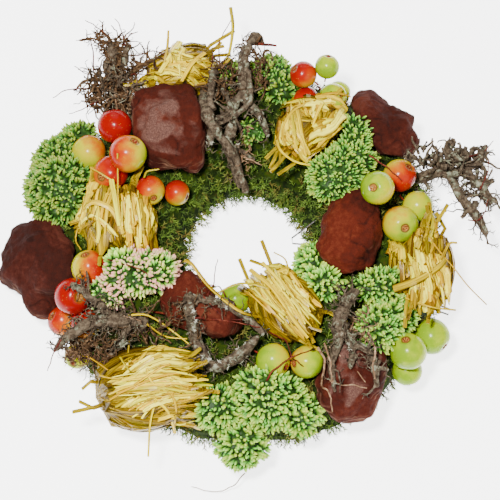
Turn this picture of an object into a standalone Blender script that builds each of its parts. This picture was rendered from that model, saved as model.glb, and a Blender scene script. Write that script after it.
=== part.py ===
"""An autumn wreath that lies flat on a table.

A wound straw ring carries six mats of moss. Bark, crab apples, sedum heads, folded straw and
lichened twigs are laid on the moss one after another, and each comes to rest on what is already
there. Metres, +Z up. The work is laid out about the ring's centre, and the finished wreath is then
moved by a millimetre or two, so that its origin is on the table under the middle of its box.
"""

import math
import random

import bmesh
import bpy
from mathutils import Matrix, Vector, noise
from mathutils.bvhtree import BVHTree
from mathutils.geometry import tessellate_polygon

# The ring
RING_RADIUS = 0.105
RING_STEPS = 34
STRAW_HALF_WIDTH = 0.030
STRAW_HEIGHT = 0.044
STRAW_OUTLINE = (
    (0.62, 0.0), (1.0, 0.24), (1.0, 0.66), (0.58, 1.0),
    (-0.58, 1.0), (-1.0, 0.66), (-1.0, 0.24), (-0.62, 0.0),
)
TWINE_EVERY = 3
TWINE_BITE = 0.0012
MOSS_HALF_WIDTH = 0.052
MOSS_WAIST = 0.018
MOSS_HEIGHT = 0.062
MOSS_HEM = 0.0010
MOSS_HEM_TUCK = 0.005
MOSS_RELIEF = 0.0060
MOSS_TUFT = 0.009
MOSS_SIDES = 10
MOSS_STEP = 12.4
MOSS_ROOM = 0.0005
MOSS_SIDE_ROOM = 0.0014

# How closely things lie together
GAP = 0.0003
FINE_STEP = 0.0002
SHRINK_STEP = 0.0005
FROM_ABOVE = 0.200
ROLL = 0.005
OUTER_EDGE = 0.135
ROLL_PRICE = 0.8

# Nearly straight up, so that a line seldom runs along an edge
SKEW_UP = Vector((0.0131, 0.0071, 1.0)).normalized()

# What is pushed into the moss
STEM_RADIUS = 0.0022
STEM_DEPTH = 0.013
HOLE_PLAY = 0.0006
WIRE_RADIUS = 0.0007
WIRE_DEPTH = 0.010
WIRE_HOLE = 0.016
WIRE_BEND = 0.0022

# Bark and apples
BARK_SQUARENESS = 3.0
BARK_WAVE = 0.30
BARK_PLATE = 0.09
APPLE_SIDES = 8
APPLE_RINGS = 5
STALK_RADIUS = 0.0009
SPUR_RADIUS = 0.0022

# Sedum
BUD_LENGTH = 0.0048
BUD_SPACING = 0.0079
BUD_SCATTER = 0.22
BUDS_REACH_DOWN = -0.10
LOBE_FLATNESS = 0.22

# Straw
STRAW_FULLNESS = 2.6
STRAW_WIDTH = 0.0030
STRAW_THICK = 0.0013
STRAW_RIDGE = 0.0042
STRAW_MERIDIANS = 24
STRAW_BANDS = 4
STRAW_TRIES = 6

# Twigs
TWIG_SIDES = 5
TWIGLET_TRIES = 6
LONG_STRETCH = 0.017
CROOK = 0.003
TWIGLET_RADIUS = 0.0010
TWIGLET_TIP = 0.0005
BENT_FROM = 0.013
HIGHEST_LIFT = 0.012

# Moss: the angles at which one mat ends and the next begins
MOSS_MATS = (-10.0, 51.0, 90.0, 129.0, 190.0, 270.0)

# Bark: angle round the ring, distance from its centre, height of its middle, half sizes along
# and across its grain and in thickness, the grain's heading, how far it leans outwards, and fineness
BARKS = (
    (125.0, 0.108, 0.080, (0.041, 0.030, 0.019), 100, 6, 4),
    (185.5, 0.168, 0.052, (0.037, 0.031, 0.015), 118, 24, 4),
    (41.5, 0.149, 0.060, (0.034, 0.023, 0.013), -32, 18, 3),
    (2.0, 0.083, 0.076, (0.031, 0.023, 0.016), 80, -16, 3),
    (229.0, 0.071, 0.068, (0.024, 0.020, 0.014), 60, -20, 3),
    (249.5, 0.074, 0.064, (0.022, 0.014, 0.012), -20, -16, 3),
    (303.5, 0.142, 0.060, (0.031, 0.025, 0.016), 70, 20, 3),
)

# Crab apples, lowest first, one or two on a spur: angle, distance from the centre, diameter,
# direction of the calyx, colour
APPLES = (
    ((67.5, 0.127, 0.021, (0.3, -0.5, 0.8), "orange"),),
    ((321.0, 0.164, 0.024, (0.2, -0.9, -0.3), "green"),),
    ((203.0, 0.161, 0.025, (-0.7, 0.2, 0.6), "orange"),),
    ((214.0, 0.163, 0.021, (-0.3, -0.8, 0.5), "green"),),
    ((208.0, 0.150, 0.024, (0.5, -0.4, 0.7), "orange"),),
    ((259.0, 0.048, 0.025, (-0.35, 0.85, 0.4), "green"),),
    ((71.0, 0.141, 0.022, (-0.7, 0.2, 0.6), "red"),),
    ((59.5, 0.149, 0.021, (0.9, -0.2, 0.1), "green"),),
    ((66.5, 0.154, 0.020, (0.1, 0.7, 0.7), "green"),),
    ((61.0, 0.134, 0.023, (0.62, -0.05, 0.78), "green"),),
    (
        (332.5, 0.166, 0.029, (0.7, -0.6, 0.1), "green"),
        (323.5, 0.157, 0.029, (-0.2, 0.5, 0.8), "green"),
    ),
    (
        (145.5, 0.071, 0.021, (0.9, -0.4, 0.1), "orange"),
        (154.5, 0.086, 0.024, (0.3, -0.8, 0.5), "orange"),
    ),
    ((155.0, 0.121, 0.029, (-0.5, -0.5, 0.7), "orange"),),
    ((150.0, 0.149, 0.028, (-0.6, 0.7, 0.2), "yellow"),),
    ((140.5, 0.138, 0.028, (-0.2, 0.9, 0.3), "red"),),
    ((145.5, 0.110, 0.030, (0.45, 0.5, 0.75), "orange"),),
    ((192.5, 0.130, 0.028, (-0.2, 0.6, 0.8), "red"),),
    ((199.5, 0.148, 0.029, (0.5, -0.3, 0.8), "red"),),
    ((11.0, 0.140, 0.025, (0.8, -0.5, 0.2), "green"),),
    ((23.5, 0.129, 0.027, (0.55, 0.3, 0.75), "orange"),),
    ((16.5, 0.107, 0.027, (-0.35, -0.3, 0.88), "yellow"),),
    ((5.5, 0.119, 0.029, (0.2, -0.55, 0.8), "yellow"),),
    (
        (281.0, 0.106, 0.027, (0.8, -0.5, 0.3), "yellow"),
        (293.5, 0.112, 0.026, (-0.8, -0.2, 0.4), "yellow"),
    ),
)

# Sedum heads: the lobes of each, biggest first, as angle, distance from the centre, height and radius
SEDUMS = (
    ((164.0, 0.160, 0.056, 0.027), (147.5, 0.166, 0.052, 0.014), (155.5, 0.174, 0.052, 0.017)),
    ((199.5, 0.100, 0.074, 0.020), (203.5, 0.078, 0.070, 0.018), (203.0, 0.120, 0.070, 0.016)),
    (
        (277.0, 0.130, 0.066, 0.025),
        (261.0, 0.140, 0.060, 0.017),
        (268.5, 0.166, 0.048, 0.018),
        (286.0, 0.149, 0.056, 0.016),
    ),
    ((33.5, 0.084, 0.074, 0.024), (36.5, 0.106, 0.072, 0.020), (45.0, 0.126, 0.066, 0.015)),
    ((341.0, 0.056, 0.058, 0.016), (328.0, 0.071, 0.066, 0.015)),
    (
        (323.5, 0.129, 0.068, 0.020),
        (331.0, 0.136, 0.062, 0.015),
        (339.0, 0.117, 0.070, 0.015),
        (335.0, 0.104, 0.072, 0.012),
    ),
    (
        (79.0, 0.138, 0.062, 0.017),
        (82.5, 0.153, 0.054, 0.012),
        (89.0, 0.146, 0.052, 0.012),
        (95.0, 0.144, 0.056, 0.013),
    ),
    ((86.5, 0.091, 0.064, 0.012),),
)

# Folded straw: angle, distance from the centre, height of its middle, half length along the straws,
# half width, rise above the middle, heading of the straws, number of loose straws
STRAWS = (
    (111.0, 0.152, 0.064, (0.032, 0.024, 0.020), 18, 6),
    (173.5, 0.101, 0.068, (0.036, 0.031, 0.020), 92, 8),
    (237.5, 0.146, 0.058, (0.042, 0.032, 0.024), 8, 10),
    (298.0, 0.066, 0.060, (0.036, 0.024, 0.022), -50, 8),
    (349.0, 0.140, 0.060, (0.036, 0.026, 0.022), 84, 8),
    (60.5, 0.101, 0.068, (0.031, 0.024, 0.018), 55, 6),
)

# Twigs: routes as angle, distance from the centre, least height and thickness, then the number of
# twiglets and their lengths
TWIGS = (
    (
        (
            ((131.5, 0.148, 0.052, 0.0060), (130.5, 0.165, 0.060, 0.0085), (127.5, 0.180, 0.062, 0.0060)),
            ((129.0, 0.166, 0.062, 0.0055), (125.5, 0.184, 0.068, 0.0050), (123.5, 0.198, 0.072, 0.0038)),
            ((126.5, 0.176, 0.060, 0.0030), (121.0, 0.170, 0.066, 0.0022), (116.0, 0.166, 0.066, 0.0014)),
            ((123.8, 0.196, 0.072, 0.0016), (127.0, 0.212, 0.076, 0.0012), (130.5, 0.217, 0.080, 0.0008)),
        ),
        17,
        (0.009, 0.020),
    ),
    (
        (
            ((90.5, 0.162, 0.076, 0.0034), (91.5, 0.140, 0.084, 0.0042), (91.0, 0.116, 0.086, 0.0046),
             (97.5, 0.098, 0.084, 0.0050), (102.0, 0.080, 0.076, 0.0048), (100.0, 0.062, 0.062, 0.0040),
             (97.0, 0.047, 0.050, 0.0026)),
            ((97.5, 0.098, 0.084, 0.0036), (108.0, 0.093, 0.080, 0.0036), (112.0, 0.078, 0.074, 0.0026)),
            ((91.2, 0.112, 0.084, 0.0036), (83.5, 0.098, 0.080, 0.0034), (78.0, 0.084, 0.072, 0.0026)),
        ),
        11,
        (0.008, 0.018),
    ),
    (
        (
            ((22.5, 0.149, 0.050, 0.0048), (20.5, 0.166, 0.066, 0.0052), (18.0, 0.183, 0.073, 0.0045),
             (18.5, 0.200, 0.078, 0.0032), (21.5, 0.208, 0.080, 0.0020)),
            ((18.0, 0.183, 0.076, 0.0038), (12.0, 0.194, 0.074, 0.0032), (8.0, 0.204, 0.074, 0.0016)),
            ((16.5, 0.172, 0.074, 0.0036), (8.5, 0.180, 0.068, 0.0042), (4.0, 0.190, 0.064, 0.0034),
             (1.5, 0.193, 0.064, 0.0018)),
        ),
        18,
        (0.007, 0.016),
    ),
    (
        (
            ((225.0, 0.108, 0.080, 0.0056), (216.0, 0.127, 0.084, 0.0060), (211.5, 0.146, 0.080, 0.0050),
             (211.0, 0.164, 0.074, 0.0040), (212.0, 0.178, 0.066, 0.0024)),
            ((216.0, 0.127, 0.084, 0.0036), (205.0, 0.135, 0.086, 0.0030), (199.0, 0.144, 0.086, 0.0018)),
            ((220.0, 0.120, 0.080, 0.0030), (223.0, 0.134, 0.070, 0.0026), (222.0, 0.146, 0.060, 0.0016)),
        ),
        12,
        (0.008, 0.018),
    ),
    (
        (
            ((231.0, 0.070, 0.078, 0.0044), (239.0, 0.084, 0.078, 0.0048), (248.0, 0.100, 0.076, 0.0052),
             (257.0, 0.115, 0.076, 0.0058), (263.0, 0.105, 0.076, 0.0052), (270.0, 0.096, 0.078, 0.0046),
             (276.0, 0.086, 0.080, 0.0034)),
            ((231.0, 0.070, 0.078, 0.0030), (250.0, 0.064, 0.078, 0.0026), (272.0, 0.074, 0.082, 0.0030),
             (279.0, 0.086, 0.082, 0.0022)),
        ),
        9,
        (0.006, 0.013),
    ),
    (
        (
            ((330.0, 0.100, 0.086, 0.0030), (322.0, 0.098, 0.088, 0.0056), (314.5, 0.103, 0.086, 0.0060),
             (307.5, 0.116, 0.084, 0.0044), (301.0, 0.126, 0.080, 0.0030), (297.5, 0.146, 0.064, 0.0016)),
            ((312.0, 0.108, 0.086, 0.0036), (311.0, 0.122, 0.084, 0.0028), (305.0, 0.138, 0.074, 0.0014)),
            ((315.0, 0.128, 0.084, 0.0030), (312.0, 0.146, 0.070, 0.0030), (309.0, 0.160, 0.058, 0.0018)),
        ),
        10,
        (0.008, 0.017),
    ),
)

# Wire pins: angle, height, how far out of the moss the bend stands, half the spread of the legs, and
# the edge of the ring that the pin stands at
PINS = (
    (6.0, 0.046, 0.016, 0.014, "inner"),
    (342.5, 0.030, 0.015, 0.004, "outer"),
)

COLOURS = {
    "straw_ring": (0.55, 0.42, 0.18, 0.9),
    "moss": (0.10, 0.17, 0.04, 1.0),
    "bark": (0.16, 0.045, 0.03, 0.85),
    "red_apple": (0.66, 0.04, 0.02, 0.25),
    "orange_apple": (0.80, 0.26, 0.05, 0.25),
    "yellow_apple": (0.74, 0.58, 0.10, 0.25),
    "green_apple": (0.45, 0.62, 0.08, 0.25),
    "sedum": (0.28, 0.46, 0.16, 0.7),
    "straw": (0.78, 0.60, 0.20, 0.45),
    "twig": (0.16, 0.13, 0.11, 0.9),
    "wire": (0.14, 0.14, 0.13, 0.5),
}


def polar(angle, distance, height=0.0):
    """A point from its angle round the ring in degrees and its distance from the centre."""
    turn = math.radians(angle)
    return Vector((distance * math.cos(turn), distance * math.sin(turn), height))


def finish_of(name):
    """The one material of that name, made when it is first asked for."""
    made = bpy.data.materials.get(name)
    if made is None:
        made = bpy.data.materials.new(name)
        made.use_nodes = True
        red, green, blue, rough = COLOURS[name]
        shader = made.node_tree.nodes["Principled BSDF"]
        shader.inputs["Base Color"].default_value = (red, green, blue, 1.0)
        shader.inputs["Roughness"].default_value = rough
        shader.inputs["Metallic"].default_value = 1.0 if name == "wire" else 0.0
    return made


def solid(name, points, faces, finish):
    """An object of that name in the scene, from world points and faces."""
    mesh = bpy.data.meshes.new(name)
    mesh.from_pydata([tuple(p) for p in points], [], triangles(faces))
    mesh.materials.append(finish_of(finish))
    made = bpy.data.objects.new(name, mesh)
    bpy.context.scene.collection.objects.link(made)
    return made


def combine(body, others, operation):
    """One Boolean of body with all the others, applied, after which the others are removed."""
    if not others:
        return body
    group = bpy.data.collections.new("operands")
    bpy.context.scene.collection.children.link(group)
    for other in others:
        bpy.context.scene.collection.objects.unlink(other)
        group.objects.link(other)
    step = body.modifiers.new("join", "BOOLEAN")
    step.operation = operation
    step.solver = "MANIFOLD"
    step.operand_type = "COLLECTION"
    step.collection = group
    graph = bpy.context.evaluated_depsgraph_get()
    joined = bpy.data.meshes.new_from_object(body.evaluated_get(graph))
    body.modifiers.clear()
    body.data = joined
    for other in others:
        bpy.data.objects.remove(other)
    bpy.data.collections.remove(group)
    return body


def triangles(faces):
    """Faces split into fans of triangles."""
    return [(f[0], f[i], f[i + 1]) for f in faces for i in range(1, len(f) - 1)]


def keep_biggest(piece):
    """Drops loose scraps: only the body with the most corners stays."""
    shape = bmesh.new()
    shape.from_mesh(piece.data)
    left, bodies = set(shape.verts), []
    while left:
        body, edge = set(), [next(iter(left))]
        while edge:
            corner = edge.pop()
            if corner in left:
                left.discard(corner)
                body.add(corner)
                edge += [link.other_vert(corner) for link in corner.link_edges]
        bodies.append(body)
    bodies.sort(key=len)
    scraps = [corner for body in bodies[:-1] for corner in body]
    bmesh.ops.delete(shape, geom=scraps, context="VERTS")
    shape.to_mesh(piece.data)
    shape.free()
    return piece


class Laid:
    """Everything already in place, as one tree of triangles that the next piece comes to rest on."""

    def __init__(self):
        self.points = []
        self.faces = []
        self.tree = None

    def add(self, piece):
        first = len(self.points)
        self.points += [v.co.copy() for v in piece.data.vertices]
        piece.data.calc_loop_triangles()
        self.faces += [tuple(i + first for i in t.vertices) for t in piece.data.loop_triangles]
        self.tree = BVHTree.FromPolygons(self.points, self.faces)
        return piece

    def cut_back(self, points, faces):
        """Forgets what was laid after there were so many points and faces."""
        del self.points[points:], self.faces[faces:]
        self.tree = BVHTree.FromPolygons(self.points, self.faces)

    def room(self, point):
        """Distance from a point to the nearest surface in place."""
        return self.tree.find_nearest(point)[3]

    def inside(self, point):
        """Whether a point lies within a solid in place: a line from it to the open crosses an odd
        number of surfaces."""
        crossings, start = 0, point
        while True:
            hit = self.tree.ray_cast(start, SKEW_UP)[0]
            if hit is None:
                return crossings % 2 == 1
            crossings += 1
            start = hit + SKEW_UP * 1e-6

    def raised(self, place, radius):
        """A place lifted just far enough for a ball of that radius to lie clear there."""
        ball = place.copy()
        while self.room(ball) < radius or self.inside(ball):
            ball.z += SHRINK_STEP
        return ball

    def drop(self, place, radius):
        """The centre of a ball of that radius, let down at place until it touches."""
        ball = Vector((place.x, place.y, FROM_ABOVE))
        while ball.z > radius:
            fall = self.room(ball) - radius
            if fall < FINE_STEP / 2:
                break
            ball.z -= fall
        return ball

    def nestle(self, place, radius):
        """As drop, but the ball first rolls a little way to wherever near by it lies lowest."""
        best = None
        for away in (0.0, ROLL / 2, ROLL):
            for k in range(8 if away else 1):
                spot = place + polar(45 * k, away)
                if spot.length > place.length > OUTER_EDGE:
                    continue
                ball = self.drop(spot, radius)
                cost = ball.z + away * ROLL_PRICE
                if best is None or cost < best[0]:
                    best = (cost, ball)
        return best[1]

    def meets(self, points, faces):
        """The faces that cut into what is in place."""
        own = BVHTree.FromPolygons(points, triangles(faces))
        return [a for a, _ in own.overlap(self.tree)]


def grow(name, centre, shell, reach, laid, finish):
    """A closed solid round a centre. Each corner of a unit shell goes out as far as reach says,
    or stops just short of what is in place, so the solid beds itself on its neighbours."""
    corners, faces = shell
    lengths = []
    for corner in corners:
        want = reach(corner)
        hit, normal, _, far = laid.tree.ray_cast(centre, corner.normalized(), want + 0.02)
        if hit is not None:
            slant = max(0.35, abs(normal.dot(corner.normalized())))
            want = min(want, far - GAP / slant)
        lengths.append(max(want, 4 * GAP))
    flat = triangles(faces)
    for _ in range(60):
        swollen = [centre + c.normalized() * (n + 0.7 * GAP) for c, n in zip(corners, lengths)]
        touched = {i for f in laid.meets(swollen, flat) for i in flat[f]}
        if not touched:
            break
        for i in touched:
            lengths[i] = max(lengths[i] - SHRINK_STEP, 2 * GAP)
    points = [centre + c.normalized() * n for c, n in zip(corners, lengths)]
    return solid(name, points, faces, finish)


def tube(points, radii, sides, flat=1.0):
    """Points and faces of a closed tube along a line, its section squeezed by flat."""
    ring, faces = [], []
    side = None
    for i, here in enumerate(points):
        ahead = points[min(i + 1, len(points) - 1)] - points[max(i - 1, 0)]
        ahead.normalize()
        if side is None:
            side = ahead.cross(Vector((0, 0, 1)))
            if side.length < 0.1:
                side = ahead.cross(Vector((1, 0, 0)))
        side = (side - ahead * side.dot(ahead)).normalized()
        up = ahead.cross(side)
        for k in range(sides):
            turn = 2 * math.pi * k / sides
            ring.append(here + side * radii[i] * math.cos(turn) + up * radii[i] * flat * math.sin(turn))
    for i in range(len(points) - 1):
        for k in range(sides):
            a, b = i * sides + k, i * sides + (k + 1) % sides
            faces.append((a, b, b + sides, a + sides))
    faces.append(tuple(reversed(range(sides))))
    faces.append(tuple(range(len(ring) - sides, len(ring))))
    return ring, faces


def free_tube(points, radii, sides, laid, flat=1.0):
    """A tube if it lies clear of everything in place, or None."""
    swollen, faces = tube(points, [r + GAP for r in radii], sides, flat)
    if laid.meets(swollen, faces) or any(laid.inside(p) for p in points):
        return None
    return tube(points, radii, sides, flat)


def geodesic(fineness):
    """Corners and triangles of a unit ball, from an icosahedron with each edge cut into equal parts."""
    gold = (1 + math.sqrt(5)) / 2
    base = []
    for one in (1, -1):
        for other in (gold, -gold):
            base += [Vector((0, one, other)), Vector((one, other, 0)), Vector((other, 0, one))]
    side = 2.0
    thirds = [
        (i, j, k)
        for i in range(12)
        for j in range(i + 1, 12)
        for k in range(j + 1, 12)
        if all(abs((base[a] - base[b]).length - side) < 0.1 for a, b in ((i, j), (j, k), (i, k)))
    ]
    corners, index, faces = [], {}, []

    def corner(point):
        key = tuple(round(x, 4) for x in point)
        if key not in index:
            index[key] = len(corners)
            corners.append(point.normalized())
        return index[key]

    for i, j, k in thirds:
        a, b, c = base[i], base[j], base[k]
        if (b - a).cross(c - a).dot(a + b + c) < 0:
            b, c = c, b

        def at(u, v):
            return corner(a + (b - a) * (u / fineness) + (c - a) * (v / fineness))

        for u in range(fineness):
            for v in range(fineness - u):
                faces.append((at(u, v), at(u + 1, v), at(u, v + 1)))
                if u + v < fineness - 1:
                    faces.append((at(u + 1, v), at(u + 1, v + 1), at(u, v + 1)))
    return corners, faces


def sweep(name, section, finish, start=0.0, span=360.0, steps=RING_STEPS):
    """A solid swept round all or part of the ring. Its section, seen at an angle, is a list of
    distance and height."""
    stops = steps if span == 360.0 else steps + 1
    points, faces = [], []
    for step in range(stops):
        angle = start + span * step / steps
        points += [polar(angle, r, z) for r, z in section(step, angle)]
    count = len(points) // stops
    for step in range(steps):
        here, there = step * count, (step + 1) % stops * count
        for k in range(count):
            n = (k + 1) % count
            faces.append((here + k, there + k, there + n, here + n))
    if stops > steps:
        for first, angle, way in ((0, start, -1), (steps * count, start + span, 1)):
            outwards = polar(angle + 90, way)
            end = points[first:first + count]
            for a, b, c in tessellate_polygon([end]):
                if (end[b] - end[a]).cross(end[c] - end[a]).dot(outwards) < 0:
                    b, c = c, b
                faces.append((first + a, first + b, first + c))
    return solid(name, points, faces, finish)


def straw_ring():
    """The wound straw ring that everything hangs on, flat where it rests, with grooves for its twine."""

    def section(step, _angle):
        bite = TWINE_BITE if step % TWINE_EVERY == 0 else 0.0
        wide, tall = STRAW_HALF_WIDTH - bite, STRAW_HEIGHT - bite
        return [(RING_RADIUS + wide * across, tall * up) for across, up in STRAW_OUTLINE]

    return sweep("straw_ring", section, "straw_ring")


def moss_at(angle, around):
    """Distance and height of the moss, and the outward slope there. Around runs from 0 at the
    outer flank, over the top, to 1 at the inner flank."""
    turn = math.pi * around
    rise = MOSS_HEIGHT - MOSS_WAIST
    r = RING_RADIUS + MOSS_HALF_WIDTH * math.cos(turn)
    z = MOSS_WAIST + rise * math.sin(turn)
    out, up = rise * math.cos(turn), MOSS_HALF_WIDTH * math.sin(turn)
    size = math.hypot(out, up)
    out, up = out / size, up / size
    place = polar(angle, r, z)
    tuft = MOSS_RELIEF * (noise.noise(place / MOSS_TUFT) + 0.6 * noise.noise(place / MOSS_TUFT * 2.7))
    return r + out * tuft, z + up * tuft, out, up


def moss_mat(number, cutters):
    """A mat of moss laid over the straw ring and down both its sides, up to the mats next to it,
    with plain holes where stems stand."""
    foot = MOSS_HALF_WIDTH - MOSS_HEM_TUCK
    wide = STRAW_HALF_WIDTH + MOSS_SIDE_ROOM
    cavity = [
        (wide * across, STRAW_HEIGHT * up + (MOSS_ROOM if up > 0.9 else 0.0))
        for across, up in STRAW_OUTLINE[2:-2]
    ]
    cavity = [(wide, MOSS_HEM)] + cavity + [(-wide, MOSS_HEM)]

    def section(_step, angle):
        rows = [(RING_RADIUS + foot, MOSS_HEM)]
        rows += [moss_at(angle, k / MOSS_SIDES)[:2] for k in range(MOSS_SIDES + 1)]
        rows.append((RING_RADIUS - foot, MOSS_HEM))
        rows += [(RING_RADIUS + across, z) for across, z in reversed(cavity)]
        return rows

    slit = math.degrees(GAP / RING_RADIUS) / 2
    start = MOSS_MATS[number] + slit
    span = (MOSS_MATS + (MOSS_MATS[0] + 360,))[number + 1] - slit - start
    mat = sweep(f"moss_mat_{number + 1}", section, "moss", start, span, round(span / MOSS_STEP))
    return combine(mat, cutters, "DIFFERENCE")


def leaning(angle, lean, heading):
    """Axes of a piece that lies on the ring: turned to its heading, then leant outwards."""
    outwards = polar(angle, 1.0)
    hinge = Vector((0, 0, 1)).cross(outwards)
    return Matrix.Rotation(math.radians(lean), 3, hinge) @ Matrix.Rotation(math.radians(heading), 3, "Z")


def bark(number, laid):
    """A slab of red pine bark: a blunt, angular body with stepped plates on its face."""
    angle, distance, height, half, heading, lean, fineness = BARKS[number]
    axes = leaning(angle, lean, heading)
    chance = Vector((7.3 * number, 1.7, 3.1))

    def reach(corner):
        local = axes.transposed() @ corner
        size = sum(abs(local[i] / half[i]) ** BARK_SQUARENESS for i in range(3)) ** (-1 / BARK_SQUARENESS)
        wave = BARK_WAVE * noise.noise(local * 1.5 + chance)
        plate = BARK_PLATE * math.floor(3.4 * noise.noise(local * 2.6 - chance) + 0.5)
        return size * (1 + wave + plate)

    centre = polar(angle, distance, height)
    rest = laid.drop(centre, half[2] * 0.55)
    centre.z = max(centre.z - half[2] * 0.4, rest.z)
    return grow(f"bark_{number + 1}", centre, geodesic(fineness), reach, laid, "bark")


def apple_shell():
    """A unit apple about +Z: the calyx dimple on top, the stalk's hollow below."""
    corners, faces = [Vector((0, 0, 0.80))], []
    for ring in range(1, APPLE_RINGS + 1):
        turn = math.pi * (ring - 0.35) / (APPLE_RINGS + 0.3)
        for k in range(APPLE_SIDES):
            side = 2 * math.pi * (k + 0.5 * (ring % 2)) / APPLE_SIDES
            corners.append(
                Vector((math.sin(turn) * math.cos(side), math.sin(turn) * math.sin(side), math.cos(turn)))
            )
    corners.append(Vector((0, 0, -0.72)))
    last = len(corners) - 1
    for k in range(APPLE_SIDES):
        n = (k + 1) % APPLE_SIDES
        faces.append((0, 1 + k, 1 + n))
        faces.append((last, last - APPLE_SIDES + n, last - APPLE_SIDES + k))
        for ring in range(APPLE_RINGS - 1):
            a, b = 1 + ring * APPLE_SIDES, 1 + (ring + 1) * APPLE_SIDES
            faces.append((a + k, b + k, a + n if ring % 2 else b + n))
            faces.append((b + k if ring % 2 else a + k, b + n, a + n))
    return corners, faces


def crab_apple(number, laid):
    """One or two apples set down on what is in place, each with its stalk where there is room for
    one. Two apples hang on one spur, which joins them."""
    before = len(laid.points), len(laid.faces)
    name = f"crab_apple_{number + 1:02d}"
    fruits, centres, stalks = [], [], []
    for angle, distance, diameter, calyx, tint in APPLES[number]:
        radius = diameter / 2
        centre = laid.nestle(polar(angle, distance), radius)
        turn = Vector((0, 0, 1)).rotation_difference(Vector(calyx).normalized()).to_matrix()
        corners, faces = apple_shell()
        points = [centre + turn @ (c * (radius - FINE_STEP / 2)) for c in corners]
        down = -Vector(calyx).normalized()
        tip = centre + down * radius * 1.4 + Vector((0, 0, radius * 0.25))
        line = [centre + down * radius * 0.4, tip]
        stalk = free_tube(line, [STALK_RADIUS, STALK_RADIUS * 1.3], 3, laid)
        if stalk:
            stalks.append(solid("stalk", *stalk, "twig"))
        centres.append(centre)
        fruits.append(laid.add(solid(name, points, faces, f"{tint}_apple")))
    if len(fruits) > 1:
        stalks.append(solid("spur", *tube(centres, [SPUR_RADIUS] * 2, 5), "twig"))
    laid.cut_back(*before)
    return combine(fruits[0], fruits[1:] + stalks, "UNION")


def bud_shell(fineness, bare, rng):
    """A geodesic ball covered with a close lattice of buds, but for where it is bare: every old
    corner is a bud's tip, and the middle of every old face is a hollow between three buds."""
    corners, faces = geodesic(fineness)
    spread = BUD_SCATTER / fineness
    corners = [
        (c + Vector([rng.uniform(-spread, spread) for _ in range(3)])).normalized() for c in corners
    ]
    middle = {}
    for f in faces:
        if not bare(sum((corners[i] for i in f), Vector()).normalized()):
            middle[f] = len(corners) + len(middle)
    owner = {}
    for f in middle:
        for a, b in ((f[0], f[1]), (f[1], f[2]), (f[2], f[0])):
            owner[a, b] = f
    made = [f for f in faces if f not in middle]
    for (a, b), f in owner.items():
        other = owner.get((b, a))
        if other is None:
            made.append((a, b, middle[f]))
        elif a < b:
            made.append((a, middle[other], middle[f]))
            made.append((middle[other], b, middle[f]))
    tips = {i for f in middle for i in f}
    hollows = [sum((corners[i] for i in f), Vector()).normalized() for f in middle]
    return corners + hollows, made, tips


def sedum_lobe(ball, others, laid, rng):
    """One rounded lobe of a sedum head, with buds wherever it shows: not underneath, and not
    where it is grown into the other lobes."""
    centre, radius, up = ball

    def bare(direction):
        place = centre + direction * radius
        hidden = any((place - middle).length < size for middle, size, _ in others)
        return hidden or direction.dot(up) < BUDS_REACH_DOWN

    corners, faces, tips = bud_shell(max(2, round(radius / BUD_SPACING)), bare, rng)
    out = {tuple(corners[i]) for i in tips}

    def reach(corner):
        flat = radius * (1 - LOBE_FLATNESS * max(0.0, corner.dot(up)))
        if tuple(corner) in out:
            return flat * rng.uniform(0.97, 1.06) + BUD_LENGTH * 0.3
        return flat - BUD_LENGTH * 0.7

    return grow("lobe", centre, (corners, faces), reach, laid, "sedum")


def sedum(number, laid):
    """A sedum head: its lobes grown into each other, and a stem that stands in the moss."""
    rng = random.Random(100 + number)
    balls = []
    for angle, distance, height, radius in SEDUMS[number]:
        centre = laid.raised(polar(angle, distance, height), radius * 0.4)
        outwards = polar(angle, (distance - RING_RADIUS) / MOSS_HALF_WIDTH * 0.8)
        balls.append((centre, radius, (outwards + Vector((0, 0, 1))).normalized()))
    lobes = [sedum_lobe(ball, [b for b in balls if b is not ball], laid, rng) for ball in balls]
    lobes[0].name = f"sedum_head_{number + 1}"
    foot, normal = sedum_foot(number)
    shank = free_tube([foot + normal * STEM_RADIUS * 2, balls[0][0]], [STEM_RADIUS] * 2, 5, laid)
    others = list(lobes[1:])
    if shank:
        line = [foot - normal * STEM_DEPTH, foot + normal * STEM_RADIUS * 2, balls[0][0]]
        others.append(solid("stem", *tube(line, [STEM_RADIUS] * 3, 5), "sedum"))
    return keep_biggest(combine(lobes[0], others, "UNION"))


def sedum_foot(number):
    """Where the stem of a sedum head enters the moss, right under its biggest lobe, and its way."""
    angle, distance, height = SEDUMS[number][0][:3]
    rise = (height - MOSS_WAIST) / (MOSS_HEIGHT - MOSS_WAIST)
    around = math.atan2(rise, (distance - RING_RADIUS) / MOSS_HALF_WIDTH)
    r, z, out, up = moss_at(angle, around / math.pi)
    return polar(angle, r, z), (polar(angle, out) + Vector((0, 0, up))).normalized()


def straw_shell(meridians, rings):
    """A ball with its poles on the X axis, so that its meridians run like straws."""
    corners, faces = [Vector((1, 0, 0))], []
    for ring in range(1, rings + 1):
        turn = math.pi * ring / (rings + 1)
        for k in range(meridians):
            side = 2 * math.pi * k / meridians
            corners.append(
                Vector((math.cos(turn), math.sin(turn) * math.cos(side), math.sin(turn) * math.sin(side)))
            )
    corners.append(Vector((-1, 0, 0)))
    last = len(corners) - 1
    for k in range(meridians):
        n = (k + 1) % meridians
        faces.append((0, 1 + k, 1 + n))
        faces.append((last, last - meridians + n, last - meridians + k))
        for ring in range(rings - 1):
            a, b = 1 + ring * meridians, 1 + (ring + 1) * meridians
            faces.append((a + k, b + k, b + n))
            faces.append((a + k, b + n, a + n))
    return corners, faces


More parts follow.
